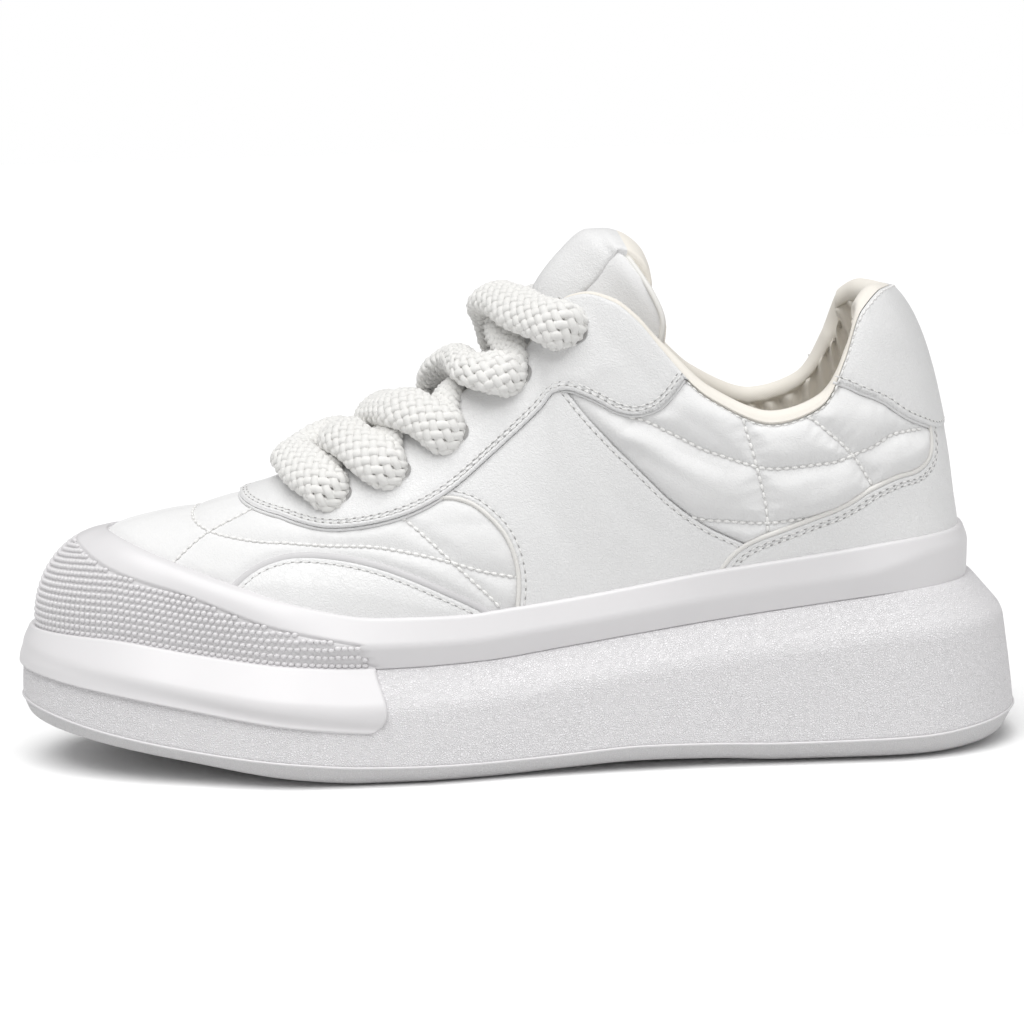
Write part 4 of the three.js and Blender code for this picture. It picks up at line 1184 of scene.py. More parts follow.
def carried(points, net):  # the net's swelling at other points
    ground, rise = net
    tree, out = treeOf(ground), np.empty(len(points))
    for k, p in enumerate(points):
        near = tree.find_n(p, 9)
        weight = np.exp(-(np.array([n[2] for n in near]) / cloth["reach"]) ** 2)
        out[k] = np.sum(weight * rise[[n[1] for n in near]]) / np.sum(weight)
    return out


def quiltedBase():
    parts = []
    for side in (outer, inner):
        lines = [through(name, 0.8, side) for name in quiltSeams]
        part = patch(baseBorder(side), side, quilt["spacing"], lines, (-1.2, -0.5, 0.0, 0.5, 1.2), (0.5,))
        w, t = part["w"], part["t"]
        ground = formPoint(w, t, side)
        normal = formNormal(w, t, side)
        bandW, topW = evenStations(825, 0.1), evenStations(900, 0.9, 0.60, 1.0)
        toSeam, run = nearest(ground, [seamLine(name, side) for name in quiltSeams])
        toEdge, edgeRun = nearest(ground, [seamLine(name, side) for name in edgeSeams] + [
            onForm(bandW, bandEnd(bandW, side), side, 0), formPoint(topW, rollFoot(topW, side), side)])
        toWing, _ = nearest(ground, [seamLine("wing", side)])
        x = ground[:, 0]
        away = np.minimum(np.minimum(toSeam, toEdge), np.maximum(toWing - quilt["tape"], 0))
        depth = mix(quilt["front"], quilt["rear"], ease((x - 18) / 14))
        depth = mix(quilt["toe"], depth, ease((x + 92) / 34))
        puff = depth * (1 - np.exp(-(away / quilt["softness"]) ** 1.15))
        rise = np.maximum(carried(ground, swell(side, lines)), 0)
        limit = depth * 1.2
        blown = limit * (1 - np.exp(-rise / limit)) * (1 - np.exp(-(away / 0.9) ** 1.3))
        puff = mix(puff, blown, cloth["share"])
        ripple = np.sin(run * 2.03 + 0.7 * np.sin(run * 0.31)) + 0.7 * np.sin(run * 1.17 + 1.3)
        ripple = ripple * np.exp(-toSeam / quilt["fade"]) * (1 - np.exp(-(toSeam / 0.7) ** 2))
        edgeRipple = np.sin(edgeRun * 1.31 + 0.9 * np.sin(edgeRun * 0.23)) + 0.6 * np.sin(edgeRun * 0.77)
        edgeRipple = edgeRipple * np.exp(-toEdge / quilt["fade"]) * (1 - np.exp(-(toEdge / 1.1) ** 2))
        share = depth / quilt["rear"]
        height = puff + quilt["pucker"] * (ripple + 0.7 * edgeRipple) * share * np.minimum(away / 1.0, 1)
        height += creaseHeight(ground, side, creases) * np.minimum(away / 3.0, 1)
        underPanel, underBand, underRoll = hiddenParts(w, t, side)
        height = np.where(underPanel, quilt["under"] * np.minimum(toEdge / 1.2, 1), height)
        height = np.where(underBand, np.minimum(height, -0.05), height)
        height = np.where(underRoll, -0.4, height)
        part["points"] = ground + normal * height[:, None]
        part["flip"] = side > 0
        parts.append(part)
    meshFrom("quiltedUpper", parts, "quilting", "quilting", ["upper"], 0.7)


quiltedBase()
print("quilted base ready")

# Leather panels laid over the base.

panels = {  # top height, edge radius and the frame's nodes that each pair stands for
    "sidePanel": {"height": 1.0, "edge": 0.5, "replaces": []},
    "wing": {"height": 0.9, "edge": 0.6, "replaces": []},
    "counter": {"height": 1.3, "edge": 0.6, "replaces": []},
    "eyestay": {"height": 2.1, "edge": 0.85, "replaces": ["eyestay_outer", "eyestay_inner"]},
    "heelTab": {"height": 1.8, "edge": 0.85, "replaces": ["heel_tab"]},
}
leather = {"turned": 0.9, "sink": 0.16, "sinkWidth": 0.55, "pucker": 0.07, "wingPad": 0.9}
stitchRows = {  # seam, distance in from the edge, where it starts and stops along it
    "sidePanel": [("panelFront", 1.5, 0.03, 0.9), ("panelRear", 1.3, 0.0, 0.93)],
    "wing": [("wing", 1.5, 0.03, 0.97)],
    "counter": [("counter", 1.4, 0.06, 0.99), ("counter", 2.4, 0.06, 0.98)],
    "eyestay": [("eyestay", 1.3, 0.01, 0.99), ("eyestay", 2.3, 0.015, 0.985)],
    "heelTab": [("heelTab", 1.6, 0.02, 1.0)],
}
inwards = {"panelFront": 1, "panelRear": -1, "counter": -1, "eyestay": 1, "heelTab": 1, "wing": -1,
           "facingTop": 1}


def rowOnForm(seam, gap, start, stop, side, step=0.8, lower=0.02):  # a line beside a seam
    w, t = through(seam, step, side)
    w, t = shiftLine(w, t, side, np.full(len(w), gap * inwards[seam] * -side))
    a, b = int(start * (len(w) - 1)), int(stop * (len(w) - 1)) + 1
    w, t = w[a:b], np.clip(t[a:b], 0, 1)
    keep = t > bandEnd(w, side) - lower
    return w[keep], t[keep]


def leatherPanel(name, side):
    shape = panels[name]
    rows = [rowOnForm(*row, side) for row in stitchRows[name]]
    part = patch(panelBorders[side][name], side, 1.2, rows, (-0.5, 0.0, 0.5))
    w, t = part["w"], part["t"]
    ground, normal = formPoint(w, t, side), formNormal(w, t, side)
    loop = np.array(part["loop"])
    edge = ground[loop]
    seam = np.abs(edge[:, 1] - middle(edge[:, 0])) < 0.02  # where the two halves meet
    toEdge, _ = nearest(ground, [np.delete(edge, np.flatnonzero(seam), axis=0)])
    r = shape["edge"]
    inset = np.clip(toEdge, 0, r)
    height = shape["height"] - r + np.sqrt(np.maximum(r * r - (r - inset) ** 2, 0))
    toRow, run = nearest(ground, [formPoint(*row, side) for row in rows])
    height -= leather["sink"] * np.exp(-(toRow / leather["sinkWidth"]) ** 2)
    height += leather["pucker"] * np.exp(-(toRow / 2.0) ** 2) * np.sin(run * 2.6 + np.sin(run * 0.5))
    height += creaseHeight(ground, side, panelCreases) * np.minimum(toEdge / 4.0, 1)
    if name == "wing":
        height += leather["wingPad"] * (1 - np.exp(-np.maximum(toEdge - 2.2, 0) / 5))
    points = ground + normal * height[:, None]
    # the turned-down edge
    low = edge - normal[loop] * leather["turned"]
    count, at = len(loop), len(points)
    skirt = [[loop[k], at + k, at + (k + 1) % count, loop[(k + 1) % count]] for k in range(count)
             if not (seam[k] and seam[(k + 1) % count])]
    a, b, c = (points[part["faces"][0][k]] for k in range(3))
    upright = np.dot(np.cross(b - a, c - a), normal[part["faces"][0][0]]) > 0
    faces = [f if upright else f[::-1] for f in part["faces"]]
    # the skirt keeps the winding of the faces it joins
    pairs = {(f[k], f[(k + 1) % 3]) for f in faces for k in range(3)}
    skirt = [s if (s[3], s[0]) in pairs else s[::-1] for s in skirt]
    return {"points": np.concatenate([points, low]), "faces": faces + skirt}


for name, shape in panels.items():
    meshFrom(name + "Leather", [leatherPanel(name, side) for side in (outer, inner)], "leather", "leather",
             shape["replaces"])
print("leather panels ready")

# Piping along the panel edges.

pipes = [  # seam, radius, height, sideways, start, stop, finish
    ("eyestay", 0.55, 0.5, -0.15, 0.0, 0.99, "leather"),
    ("panelFront", 0.6, 0.75, -0.4, 0.06, 1.0, "piping"),
    ("counter", 0.7, 0.75, -0.55, 0.04, 1.0, "piping"),
    # the wing's sunk tape carries painted shade in its grey finish
    ("wing", 1.6, -0.95, -0.75, 0.0, 1.0, "edge"),
    ("heelTab", 0.5, 0.6, -0.1, 0.0, 1.0, "leather"),
    ("facingTop", 0.75, 1.15, 0.0, 0.0, 1.0, "piping"),
]


def piping():
    grids, names = [], ["leather", "piping", "edge"]
    for seam, radius, height, sideways, start, stop, kind in pipes:
        for side in (outer, inner):
            w, t = rowOnForm(seam, sideways, start, stop, side, 1.0, 0.03)
            tube = tubeGrid(onForm(w, t, side, np.full(len(w), height)), radius, 8, up=formNormal(w, t, side))
            tube["material"] = names.index(kind)
            grids.append(tube)
    makePiece("edgePiping", grids, names, "leather")


piping()
print("piping ready")
# Stitches.

# Each stitch is a thread with a small dark pit at its end, painted shade where the needle hole is.
stitches = {
    "leather": {"pitch": 2.35, "size": (0.82, 0.27, 0.2), "pitSize": (0.5, 0.21, 0.1), "pitPlace": (1.175, 0, 0.0),
                "lift": 0.03, "thread": "thread", "pitShade": "hole"},
    "quilting": {"pitch": 2.25, "size": (0.98, 0.46, 0.42), "pitSize": (0.18, 0.2, 0.12),
                 "pitPlace": (1.125, 0, 0.05), "lift": 0.25, "thread": "whiteThread", "pitShade": "dimpleShade"},
    "collar": {"pitch": 2.3, "size": (0.84, 0.33, 0.26), "pitSize": (0.26, 0.22, 0.12),
               "pitPlace": (1.15, 0, -0.05), "lift": 0.12, "thread": "whiteThread", "pitShade": "dimpleShade"},
}


def sew(name, kind, rows, slot):
    values = stitches[kind]
    lines, ups = [], []
    for w, t, side, height in rows:
        up = formNormal(w, t, side)
        lift = np.broadcast_to(np.asarray(height, float) + values["lift"], w.shape)
        lines.append(formPoint(w, t, side) + up * lift[:, None])
        ups.append(up)
    pitch = values["pitch"] * mm
    # the second row of shapes is the dark pits, painted shade at the stitch ends
    repeatPiece(name, lines, ups, [
        {"Pitch": pitch, "Size": inMetres(values["size"]), "Finish": finishes[values["thread"]]},
        {"Pitch": pitch, "Size": inMetres(values["pitSize"]), "Place": inMetres(values["pitPlace"]),
         "Finish": finishes[values["pitShade"]]},
    ], slot)


def stitching():
    leatherRows, quiltRows = [], []
    over = {"panelRear": ["counter", "eyestay"], "counter": ["heelTab"]}  # panels that lie over a seam's stitches
    for name, rows in stitchRows.items():
        for row in rows:
            for side in (outer, inner):
                w, t = rowOnForm(*row, side)
                keep = t > bandEnd(w, side) + 0.004
                for panel in over.get(row[0], []):
                    keep &= ~inside(toFlat(w, t), toFlat(*panelBorders[side][panel]))
                leatherRows.append((w[keep], t[keep], side, panels[name]["height"] - 0.14))
    for name in quiltSeams:
        for side in (outer, inner):
            w, t = through(name, 0.8, side)
            keep = (t > bandEnd(w, side) + 0.01) & ~covered(w, t, side) & (t < 0.975)
            edges = np.flatnonzero(np.diff(np.concatenate([[0], keep.astype(int), [0]])))
            for a, b in edges.reshape(-1, 2):
                if b - a > 4:
                    quiltRows.append((w[a:b], t[a:b], side, 0.0))
    sew("leatherStitches", "leather", leatherRows, "leather")
    sew("quiltStitches", "quilting", quiltRows, "quilting")


stitching()
print("stitches ready")

# Lining, with the rolled collar.

lining = {"sink": 0.45, "pad": 0.6, "fold": 0.95, "padFrom": 62, "padBlend": 12, "rows": 56, "arc": 15}


def liningPiece():
    grids = []
    ws = evenStations(330, 0.7)
    for side in (outer, inner):
        thick = wallAt(ws, np.ones(len(ws)))[:, None]
        top = formPoint(ws, np.ones(len(ws)), side)
        n = formNormal(ws, np.full(len(ws), 0.995), side)
        u = unit(top - formPoint(ws, np.full(len(ws), 0.97), side))
        isCollar = ease((ws - collar["from"]) / collar["blend"])[:, None]
        isOpen = ease((ws - collar["throatFrom"]) / 0.02)[:, None]
        over, proud = (v[:, None] * isCollar for v in rollShape(ws))
        radius = thick / 2 + proud
        centre = top - n * (thick / 2) - u * radius * lining["sink"]
        foot = top - u * (over + radius * lining["sink"]) + n * mix(-1.2, 0.0, isCollar)
        rows = [foot - n * 0.5, foot]
        for s in (0.35, 0.7):
            rows.append(mix(foot, centre + n * radius, s) + n * (proud * 0.6 * s))
        for a in np.linspace(0, np.pi, lining["arc"]):
            rows.append(centre + n * radius * np.cos(a) + u * radius * np.sin(a) * mix(0.35, 1.0, isCollar))
        rows = [mix(top - n * thick * 0.9, row, isOpen) for row in rows]
        for t in np.linspace(0.955, 0.02, lining["rows"]):
            tt = np.full(len(ws), t)
            p = onForm(ws, tt, side, -wallAt(ws, tt))
            inHeel = ease((p[:, 0] - lining["padFrom"]) / lining["padBlend"])
            padded = inHeel * ease((t - 0.45) / 0.25) * ease((1.02 - t) / 0.12)
            run = runAlong(p)
            fold = np.sin(run * 0.95 + 1.1 * np.sin(run * 0.17) + 0.6 * t)
            puff = (lining["fold"] * fold + lining["pad"]) * padded
            rows.append(p - formNormal(ws, tt, side) * puff[:, None])
        grids.append({"points": np.stack(rows), "flip": side < 0})
    makePiece("collarLining", grids, ["lining"], "lining")


def collarSeam():
    rows = []
    for side in (outer, inner):
        w = evenStations(300, 0.9, 0.6165, 1.0)
        up = length(formPoint(w, 1.0, side) - formPoint(w, 0.98, side)) / 0.02
        onTab = ease((w - 0.732) / 0.006)
        rows.append((w, rollFoot(w, side) - 0.55 / up, side, mix(0.35, panels["heelTab"]["height"] - 0.1, onTab)))
    sew("collarStitches", "collar", rows, "lining")


liningPiece()
collarSeam()
print("lining ready")

# Insole.

insoleShape = {
    "clear": 0.8, "rows": [(0.3, 0.4), (0.3, 0), (3.6, 0), (4.8, 0.5), (5.3, 1.8)],  # lift and inset of each row
    "heelCup": 0.9, "heelFrom": 60, "arch": 0.5, "archAt": 15,
}


def insole():
    edge = wall["vamp"] + insoleShape["clear"]
    rows = np.stack([level("feather", lift, edge + inset) for lift, inset in insoleShape["rows"]])
    top = acrossRing(rows[-1], 32)
    s = np.linspace(0, 1, 33)[:, None]
    bowl, x = 4 * s * (1 - s), top[..., 0]
    top[..., 2] += bowl * insoleShape["arch"] * ease((40 - abs(x - insoleShape["archAt"])) / 30)
    top[..., 2] -= bowl * insoleShape["heelCup"] * ease((x - insoleShape["heelFrom"]) / 30)
    makePiece("paddedInsole", [
        {"points": rows, "wrapCols": True, "flip": True}, {"points": top}, closeAcross(rows[0], True),
    ], ["lining"], "lining", ["insole"], 0.8)


insole()
print("insole ready")

# Tongue.

tongueTable = np.array([  # x, z of the middle of its face, half width, curl of the edges, thickness, lean
    [-68, 75.0, 11, 2.8, 3, 0.30], [-57, 79.0, 12.5, 3.6, 3.5, 0.36], [-44.7, 84, 15, 4.6, 4, 0.40],
    [-31.4, 89.9, 18, 6.4, 4.5, 0.48], [-19.5, 96.7, 19, 8.6, 5, 0.55], [-10.5, 103.8, 19.5, 12, 5.5, 0.62],
    [-3.0, 112.4, 20, 18, 6.5, 0.70], [4.2, 122.6, 20.5, 24, 8, 0.74], [9.6, 134.2, 20.5, 29, 9, 0.74],
    [17.6, 143.9, 21.5, 33.5, 9, 0.72], [23.4, 148.6, 22, 28.5, 9, 0.70], [27.2, 149.6, 19.5, 19, 7, 0.68],
    [29.6, 148.8, 13, 9, 3, 0.66],
])
tongueRun = runAlong(tongueTable[:, :2])
tongueEnd = tongueRun[-1]
tonguePad = {"at": 0.76, "spread": 0.16, "height": 1.3, "wave": 0.3, "round": 0.8}
tongueShape = [smooth(tongueRun, tongueTable[:, k]) for k in range(6)]


def tonguePoint(run, u, v, lift=0.0):  # u across from -1 to 1, v from 1 on the face to -1 on the back
    x, z, half, curl, thick, lean = (shape(run) for shape in tongueShape)
    depth = thick / 2 * (v - 1) - curl * np.abs(u) ** 1.9 + lift
    return xyz(x - np.sin(lean) * depth, half * u, z + np.cos(lean) * depth)


def softPath(stops, step):  # an even run of points along a soft curve through the stops
    line = softCurve(stops, 1, 0.5, 40)
    run = runAlong(line)
    at = np.linspace(0, run[-1], int(run[-1] / step) + 1)
    return np.stack([np.interp(at, run, line[:, axis]) for axis in range(line.shape[1])], -1)


strap = {"half": 11.2, "halfTop": 13.2, "lift": 0.8, "fromRun": 70, "thick": 1.3, "pad": 7.0, "edge": 0.6}
strapBack = np.array([  # x, z of its middle, then how far back and how far down its edges lie
    [29.0, 149.7, 3.2, 5.2], [33.0, 148.8, 2.4, 5.0], [37.0, 146.4, 1.4, 4.6], [40.2, 142.6, 0.4, 4.0],
    [41.8, 137.4, 0.0, 3.2], [41.6, 131.5, 0.0, 2.4], [39.8, 124.0, 0.0, 1.6], [37.0, 116.0, 0.0, 1.0],
])


def tongue():
    runs = np.concatenate([np.linspace(0, tongueRun[-2], 120), np.linspace(tongueRun[-2], tongueEnd, 14)[1:]])
    angle = np.linspace(0, np.pi, 57)
    halves = []
    for sign in (1, -1):
        u = np.sign(np.cos(angle)) * np.abs(np.cos(angle)) ** tonguePad["round"]
        v = sign * np.abs(np.sin(angle)) ** tonguePad["round"]
        points = tonguePoint(runs[:, None], u[None], v[None])
        # the padded sides swell between the strap and the edge
        sides = (np.exp(-((np.abs(u) - tonguePad["at"]) / tonguePad["spread"]) ** 2) * np.maximum(v, 0))[None]
        high = tonguePad["height"] * ease((runs - 76) / 26) * ease((tongueEnd - runs) / 6)
        puff = sides * (high + tonguePad["wave"] * np.sin(runs * 0.62 + 0.8) * ease((runs - 60) / 20))[:, None]
        lean = tongueShape[5](runs)[:, None]
        points[..., 0] -= np.sin(lean) * puff
        points[..., 2] += np.cos(lean) * puff
        halves.append({"points": points, "flip": sign < 0, "material": int(sign < 0)})
    caps = []
    loop = np.concatenate([halves[0]["points"], halves[1]["points"][:, -2:0:-1]], axis=1)
    for ring, flip in ((loop[-1], False), (loop[0], True)):
        s = np.linspace(0, 1, 5)[:, None, None]
        caps.append({"points": mix(ring[None], ring.mean(0)[None, None], s), "wrapCols": True, "flip": flip})
    makePiece("paddedTongue", halves + caps, ["quilting", "lining"], "quilting", ["tongue"], 0.75)


def tongueStrap():  # leather up the middle of the tongue, folded over its top and down its back
    runs = np.linspace(strap["fromRun"], tongueEnd - 5.5, 70)
    across = np.linspace(-1, 1, 41)
    share = np.abs(across) ** 1.9
    centre = len(across) // 2
    half = tongueShape[2](runs)[:, None]
    wide = mix(strap["half"], strap["halfTop"], ease((runs - 78) / 45))[:, None]
    u = across[None] * wide / np.maximum(half, wide * 1.3)
    front = tonguePoint(runs[:, None], u, 1.0, strap["lift"])
    back = np.stack([xyz(x + far * share, across * strap["halfTop"], z - down * share)
                     for x, z, far, down in strapBack])
    knots = np.concatenate([front, back])
    run = runAlong(knots[:, centre])
    at = np.concatenate([run[:66], np.linspace(run[66], run[-1], 70)[1:]])
    curve = [smooth(run, knots[:, centre, k])(at)[:, None] for k in (0, 2)]
    drop = [smooth(run, knots[:, centre, k] - knots[:, 0, k])(at)[:, None] * share for k in (0, 2)]
    face = xyz(curve[0] - drop[0], smooth(run, knots[:, -1, 1])(at)[:, None] * across, curve[1] - drop[1])
    normal = gridNormal(face)
    normal = normal if normal[5, centre, 2] > 0 else -normal
    r = strap["edge"]
    inset = np.clip((1 - np.abs(across)) * strap["half"], 0, r)
    height = np.sqrt(np.maximum(r * r - (r - inset) ** 2, 0)) - r
    top = face + normal * height[None, :, None]
    under = face - normal * mix(strap["thick"], strap["pad"], ease((at - run[69]) / 12))[:, None, None]
    shell = np.concatenate([top, under[:, ::-1]], axis=1)
    fold = 81  # the row where leather gives way to lining
    grids = [{"points": shell[:fold + 1], "wrapCols": True}, {"points": shell[fold:], "wrapCols": True, "material": 1}]
    makePiece("tongueStrap", grids, ["leather", "lining"], "leather")


def tonguePiping():  # the cream cord round the tongue's padded edge
    grids = []
    for side in (outer, inner):
        edge = tonguePoint(np.linspace(80, tongueEnd, 90), side * 1.0, 0.25)
        end = tonguePoint(tongueEnd, side * np.linspace(1.0, 0.35, 20)[1:], 0.2)
        path = softPath(np.concatenate([edge[::6], edge[-1:], end[::4]]), 0.8)
        grids.append(tubeGrid(path, 0.85, 10, up=(0.3, 0.0, 0.95)))
    makePiece("tonguePiping", grids, ["piping"], "quilting")


tongue()
tongueStrap()
tonguePiping()
print("tongue ready")
# Laces.

laceHoles = [(-42.7, 0.771), (-29.4, 0.789), (-15.2, 0.843), (1.7, 0.93), (18.5, 0.886)]  # station and t of each pair
laceMiddles = [(-61.5, 87.8), (-49.0, 92.0), (-37.2, 99.2), (-14.5, 113.0), (-3.6, 130.6)]  # x, z over the tongue
braid = {"wide": 12.6, "thick": 7.2, "yarns": 10, "yarnWide": 1.26, "yarnThick": 0.78, "weave": 0.42, "step": 0.85}
laceDive = {"depth": -4.4, "reach": 3.0, "lower": 0.022}  # how the end of a strand goes down into its hole
strands = [  # how each strand over the tongue turns and narrows in its middle, in degrees and shares
    {"turn": 8, "narrow": 1.0}, {"turn": 4, "narrow": 1.0}, {"turn": 0, "narrow": 1.04},
    {"turn": 48, "narrow": 0.74}, {"turn": 12, "narrow": 0.98},
]
onFlap = 1.9  # where the leather's face is
bend = {"turnAt": 0.42, "turnSpread": 0.2, "waistAt": 0.40, "waistSpread": 0.17, "tip": 0.62, "tipLength": 7.0,
        "slump": 0.05}


def holeStop(k, side, lift):
    w, t = stationAt(laceHoles[k][0]), laceHoles[k][1]
    up = formNormal(w, t, side)
    return formPoint(w, t, side) + up * (onFlap + lift), up


def edgeStop(k, side, lift, shift=0.0):
    w = stationAt(laceHoles[k][0] + shift)
    up = unit(formNormal(w, 0.97, side) + np.array([-0.5, 0, 0.9]))
    return formPoint(w, 0.99, side) + up * (onFlap + lift), up


def diveStop(k, side):  # inside the hole, a little past it
    w = stationAt(laceHoles[k][0] + laceDive["reach"] * 0.5)
    t = laceHoles[k][1] - laceDive["lower"]
    up = formNormal(w, t, side)
    return formPoint(w, t, side) + up * (onFlap + laceDive["depth"]), up


# One strand's sections: middle, across and up directions, half width and half thickness, all by length along it.
def laceBody(stops, shape, wide, thick):
    both = softPath([np.concatenate([p, up * 20]) for p, up in stops], 0.25)
    path, ups = both[:, :3], unit(both[:, 3:])
    tangent = unit(np.gradient(path, axis=0))
    across = unit(np.cross(ups, tangent))
    lift = np.cross(tangent, across)
    run = runAlong(path)
    s = run / run[-1]
    turn = np.radians(shape["turn"]) * np.exp(-((s - bend["turnAt"]) / bend["turnSpread"]) ** 2)
    across, lift = (across * np.cos(turn)[:, None] + lift * np.sin(turn)[:, None],
                    lift * np.cos(turn)[:, None] - across * np.sin(turn)[:, None])
    waist = mix(1.0, shape["narrow"], np.exp(-((s - bend["waistAt"]) / bend["waistSpread"]) ** 2))
    tip = mix(bend["tip"], 1.0, ease(np.minimum(run, run[-1] - run) / bend["tipLength"]))
    slump = 1 + bend["slump"] * np.sin(run * 0.33 + shape["turn"])
    halfWide = wide / 2 * waist * tip * slump
    halfThick = thick / 2 * mix(1.0, 1 / waist, 0.5)
    return {"run": run, "path": path, "across": across, "lift": lift, "wide": halfWide, "thick": halfThick}


def bodyPoint(body, run, angle, grow):
    path, across, lift = (np.stack([np.interp(run, body["run"], body[part][:, k]) for k in range(3)], -1)
                          for part in ("path", "across", "lift"))
    a, b = (np.interp(run, body["run"], body[part])[:, None] for part in ("wide", "thick"))
    cos, sin = np.cos(angle)[:, None], np.sin(angle)[:, None]
    point = path + across * a * cos + lift * b * sin
    normal = unit(across * cos * b + lift * sin * a)
    return point + normal * np.asarray(grow)[:, None], normal


def braidGrids(body, wide, thick, yarns):
    angles = np.linspace(0, 2 * np.pi, 241)
    oval = runAlong(np.stack([wide / 2 * np.cos(angles), thick / 2 * np.sin(angles)], -1))
    around = oval[-1]
    spacing = around / yarns
    total = body["run"][-1]
    run = np.linspace(0, total, int(total / braid["step"]))
    grids = []
    for hand in (1, -1):
        for k in range(yarns):
            place = k * spacing + hand * run
            angle = np.interp(np.mod(place, around), oval, angles)
            crossing = (place + hand * run) / spacing
            over = hand * np.cos(np.pi * (crossing + k))
            line, normal = bodyPoint(body, run, angle, -braid["yarnThick"] * 0.2 + braid["weave"] * over)
            tangent = unit(np.gradient(line, axis=0))
            side = unit(np.cross(normal, tangent))
            up = np.cross(tangent, side)
            slim = np.clip(np.interp(run, body["run"], body["wide"]) / (wide / 2), 0.35, 1.05)
            ring = np.arange(6) * np.pi / 3 + np.pi / 6
            swell = (1 + 0.10 * over)[:, None, None]
            points = line[:, None] + slim[:, None, None] * swell * (
                braid["yarnWide"] * np.cos(ring)[None, :, None] * side[:, None]
                + braid["yarnThick"] * np.sin(ring)[None, :, None] * up[:, None])
            grids.append({"points": points, "wrapCols": True, "flip": True})
    # a plain core closes the gaps between the yarns
    ring = np.arange(20) * np.pi / 10
    coreRun = np.linspace(0, total, 40)
    core = np.stack([bodyPoint(body, coreRun, np.full(40, a), np.full(40, -0.55))[0] for a in ring], 1)
    grids.append({"points": core, "wrapCols": True, "flip": True})
    return grids


over = (braid["wide"], braid["thick"], braid["yarns"])
under = (9.0, 3.8, 8)  # the flatter lengths that pass below


def laces():
    bridge = unit(np.array([-0.5, 0, 0.85]))
    lift = braid["thick"] / 2 - 0.2
    overGrids, underGrids = [], []
    for k, (x, z) in enumerate(laceMiddles):
        far = max(0, k - 1)
        centre = np.array([x, 0, z])
        stops = [
            diveStop(k, outer), holeStop(k, outer, 1.6), edgeStop(k, outer, lift + 1.0, -7), (centre, bridge),
            edgeStop(far, inner, lift + 1.0, 1), holeStop(far, inner, 1.6), diveStop(far, inner),
        ]
        overGrids.append(braidGrids(laceBody(stops, strands[k], *over[:2]), *over))
        if k == 0:
            continue
        below = (braid["thick"] + 4.5) / 2 - 0.5
        stops = [
            diveStop(k - 1, outer), holeStop(k - 1, outer, 0.2), edgeStop(k - 1, outer, 0.8, 1),
            (centre - bridge * below, bridge), edgeStop(k, inner, 0.8, -4), holeStop(k, inner, 0.2),
            diveStop(k, inner),
        ]
        underGrids.append(braidGrids(laceBody(stops, {"turn": 0, "narrow": 1.0}, *under[:2]), *under))
    makePiece("laceStrandsFront", sum(overGrids[:3], []), ["braid"], "braid", ["laces"])
    makePiece("laceStrandsBack", sum(overGrids[3:], []), ["braid"], "braid")
    makePiece("laceStrandsUnder", sum(underGrids, []), ["braid"], "braid")


laces()


mouth = {"lift": 0.3, "along": 1.5, "below": 1.4, "long": 4.6, "tall": 3.4,
         "rings": [(1.0, 0.0), (0.5, 0.0), (0.02, 0.2)]}


def paintHoleShades():  # painted shade: a dark sheet in the mouth of each hole, mostly filled by its lace
    grids = []
    angle = (np.arange(24) * np.pi / 12)[:, None]
    for side in (outer, inner):
        for station, t in laceHoles:
            w = stationAt(station)
            up, spot = formNormal(w, t, side), formPoint(w, t, side)
            along = unit(formPoint(w + 0.01, t, side) - spot)
            rise = np.cross(up, along)
            rise = rise if rise[2] > 0 else -rise
            heart = spot + up * (onFlap + mouth["lift"]) + along * mouth["along"] - rise * mouth["below"]
            rings = [heart + size * (np.cos(angle) * along * mouth["long"] + np.sin(angle) * rise * mouth["tall"])
                     - up * deep for size, deep in mouth["rings"]]
            grids.append({"points": np.stack(rings), "wrapCols": True, "flip": side < 0})
    makePiece("laceHoleShadeSheets", grids, ["hole"], "leather")


paintHoleShades()
print("laces ready")
# Stage, light and camera.

view = {"yaw": 1.17, "pitch": 8.3, "roll": -1.71, "distance": 900.0, "aimX": 0.46, "aimZ": 68.2, "lens": 108.95}


def placeCamera():
    yaw, pitch, roll = (math.radians(view[k]) for k in ("yaw", "pitch", "roll"))
    back = Vector((-math.sin(yaw) * math.cos(pitch), -math.cos(yaw) * math.cos(pitch), math.sin(pitch)))
    right = (-back).cross(Vector((0, 0, 1))).normalized()
    up = right.cross(-back)
    rightRolled = math.cos(roll) * right + math.sin(roll) * up
    upRolled = -math.sin(roll) * right + math.cos(roll) * up
    camera = bpy.data.objects.new("camera", bpy.data.cameras.new("camera"))
    bpy.context.collection.objects.link(camera)
    turned = Matrix((rightRolled, upRolled, back)).transposed().to_4x4()
    turned.translation = Vector((view["aimX"], 0, view["aimZ"])) * mm + back * view["distance"] * mm
    camera.matrix_world = turned
    camera.data.lens = view["lens"]
    camera.data.sensor_width = 36
    camera.data.clip_start = 0.01
    bpy.context.scene.camera = camera


floorTone = {"Color1": (0.72, 0.72, 0.72, 1), "Color2": (1, 1, 1, 1)}  # as it lights the shoe, and as it is seen


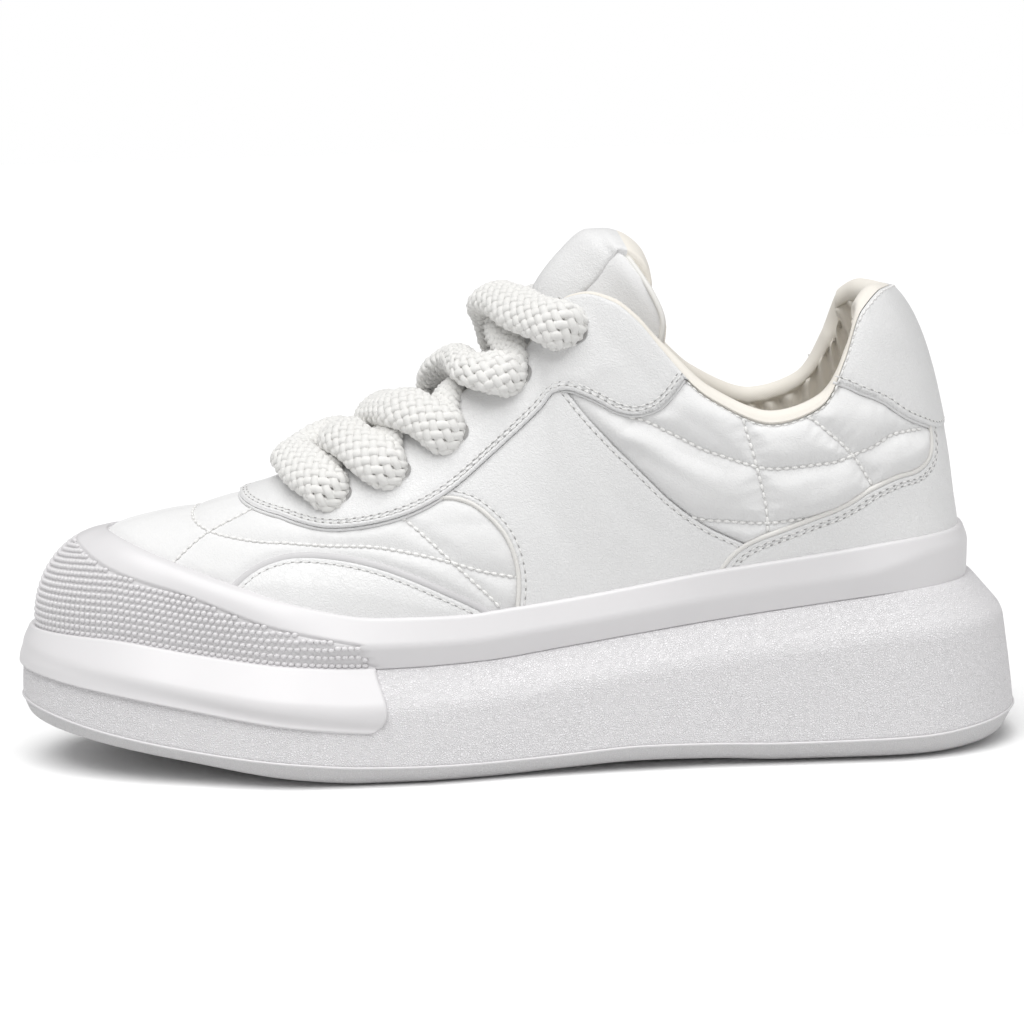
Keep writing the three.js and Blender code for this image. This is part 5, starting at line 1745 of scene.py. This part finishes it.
def stageFloor():
    mesh = bpy.data.meshes.new("studioFloor")
    mesh.from_pydata([(-6, -6, 0), (6, -6, 0), (6, 6, 0), (-6, 6, 0)], [], [(0, 1, 2, 3)])
    material = bpy.data.materials.new("palePaper")
    material.use_nodes = True
    tree = material.node_tree
    nodes = {"paper": tree.nodes["Principled BSDF"], "seen": addNode(tree, "ShaderNodeLightPath"),
             "shade": addNode(tree, "ShaderNodeMixRGB", floorTone)}
    nodes["paper"].inputs["Roughness"].default_value = 0.9
    wire(tree, nodes, ["seen.Is Camera Ray > shade.Fac", "shade.Color > paper.Base Color"])
    mesh.materials.append(material)
    floor = bpy.data.objects.new("studioFloor", mesh)
    bpy.context.collection.objects.link(floor)


def softLight(name, towards, strength, spread):
    data = bpy.data.lights.new(name, "SUN")
    data.energy = strength
    data.angle = math.radians(spread)
    lamp = bpy.data.objects.new(name, data)
    bpy.context.collection.objects.link(lamp)
    lamp.location = (0, 0, 1)
    lamp.rotation_euler = Vector(towards).to_track_quat("-Z", "Y").to_euler()


skyStrength = 0.28
lights = [  # name, the way it shines, strength, spread in degrees
    ("overhead", (0.16, 0.32, -1), 2.6, 54), ("leftFill", (1, 0.9, -0.6), 0.16, 60),
    ("rightFill", (-1, 0.6, -0.5), 0.6, 70),
]


def lightStudio():
    world = bpy.data.worlds.new("studio")
    bpy.context.scene.world = world
    world.use_nodes = True
    tree = world.node_tree
    tree.nodes["Background"].inputs["Color"].default_value = (1, 1, 1, 1)
    tree.nodes["Background"].inputs["Strength"].default_value = skyStrength
    nodes = {"sky": tree.nodes["Background"], "output": tree.nodes["World Output"],
             "plain": addNode(tree, "ShaderNodeBackground", {"Color": (1, 1, 1, 1), "Strength": 1.0}),
             "seen": addNode(tree, "ShaderNodeLightPath"), "both": addNode(tree, "ShaderNodeMixShader")}
    wire(tree, nodes, ["seen.Is Camera Ray > both.Fac", "sky.Background > both.1", "plain.Background > both.2",
                       "both.Shader > output.Surface"])
    for light in lights:
        softLight(*light)
    bpy.context.scene.view_settings.view_transform = "Standard"


placeCamera()
stageFloor()
lightStudio()
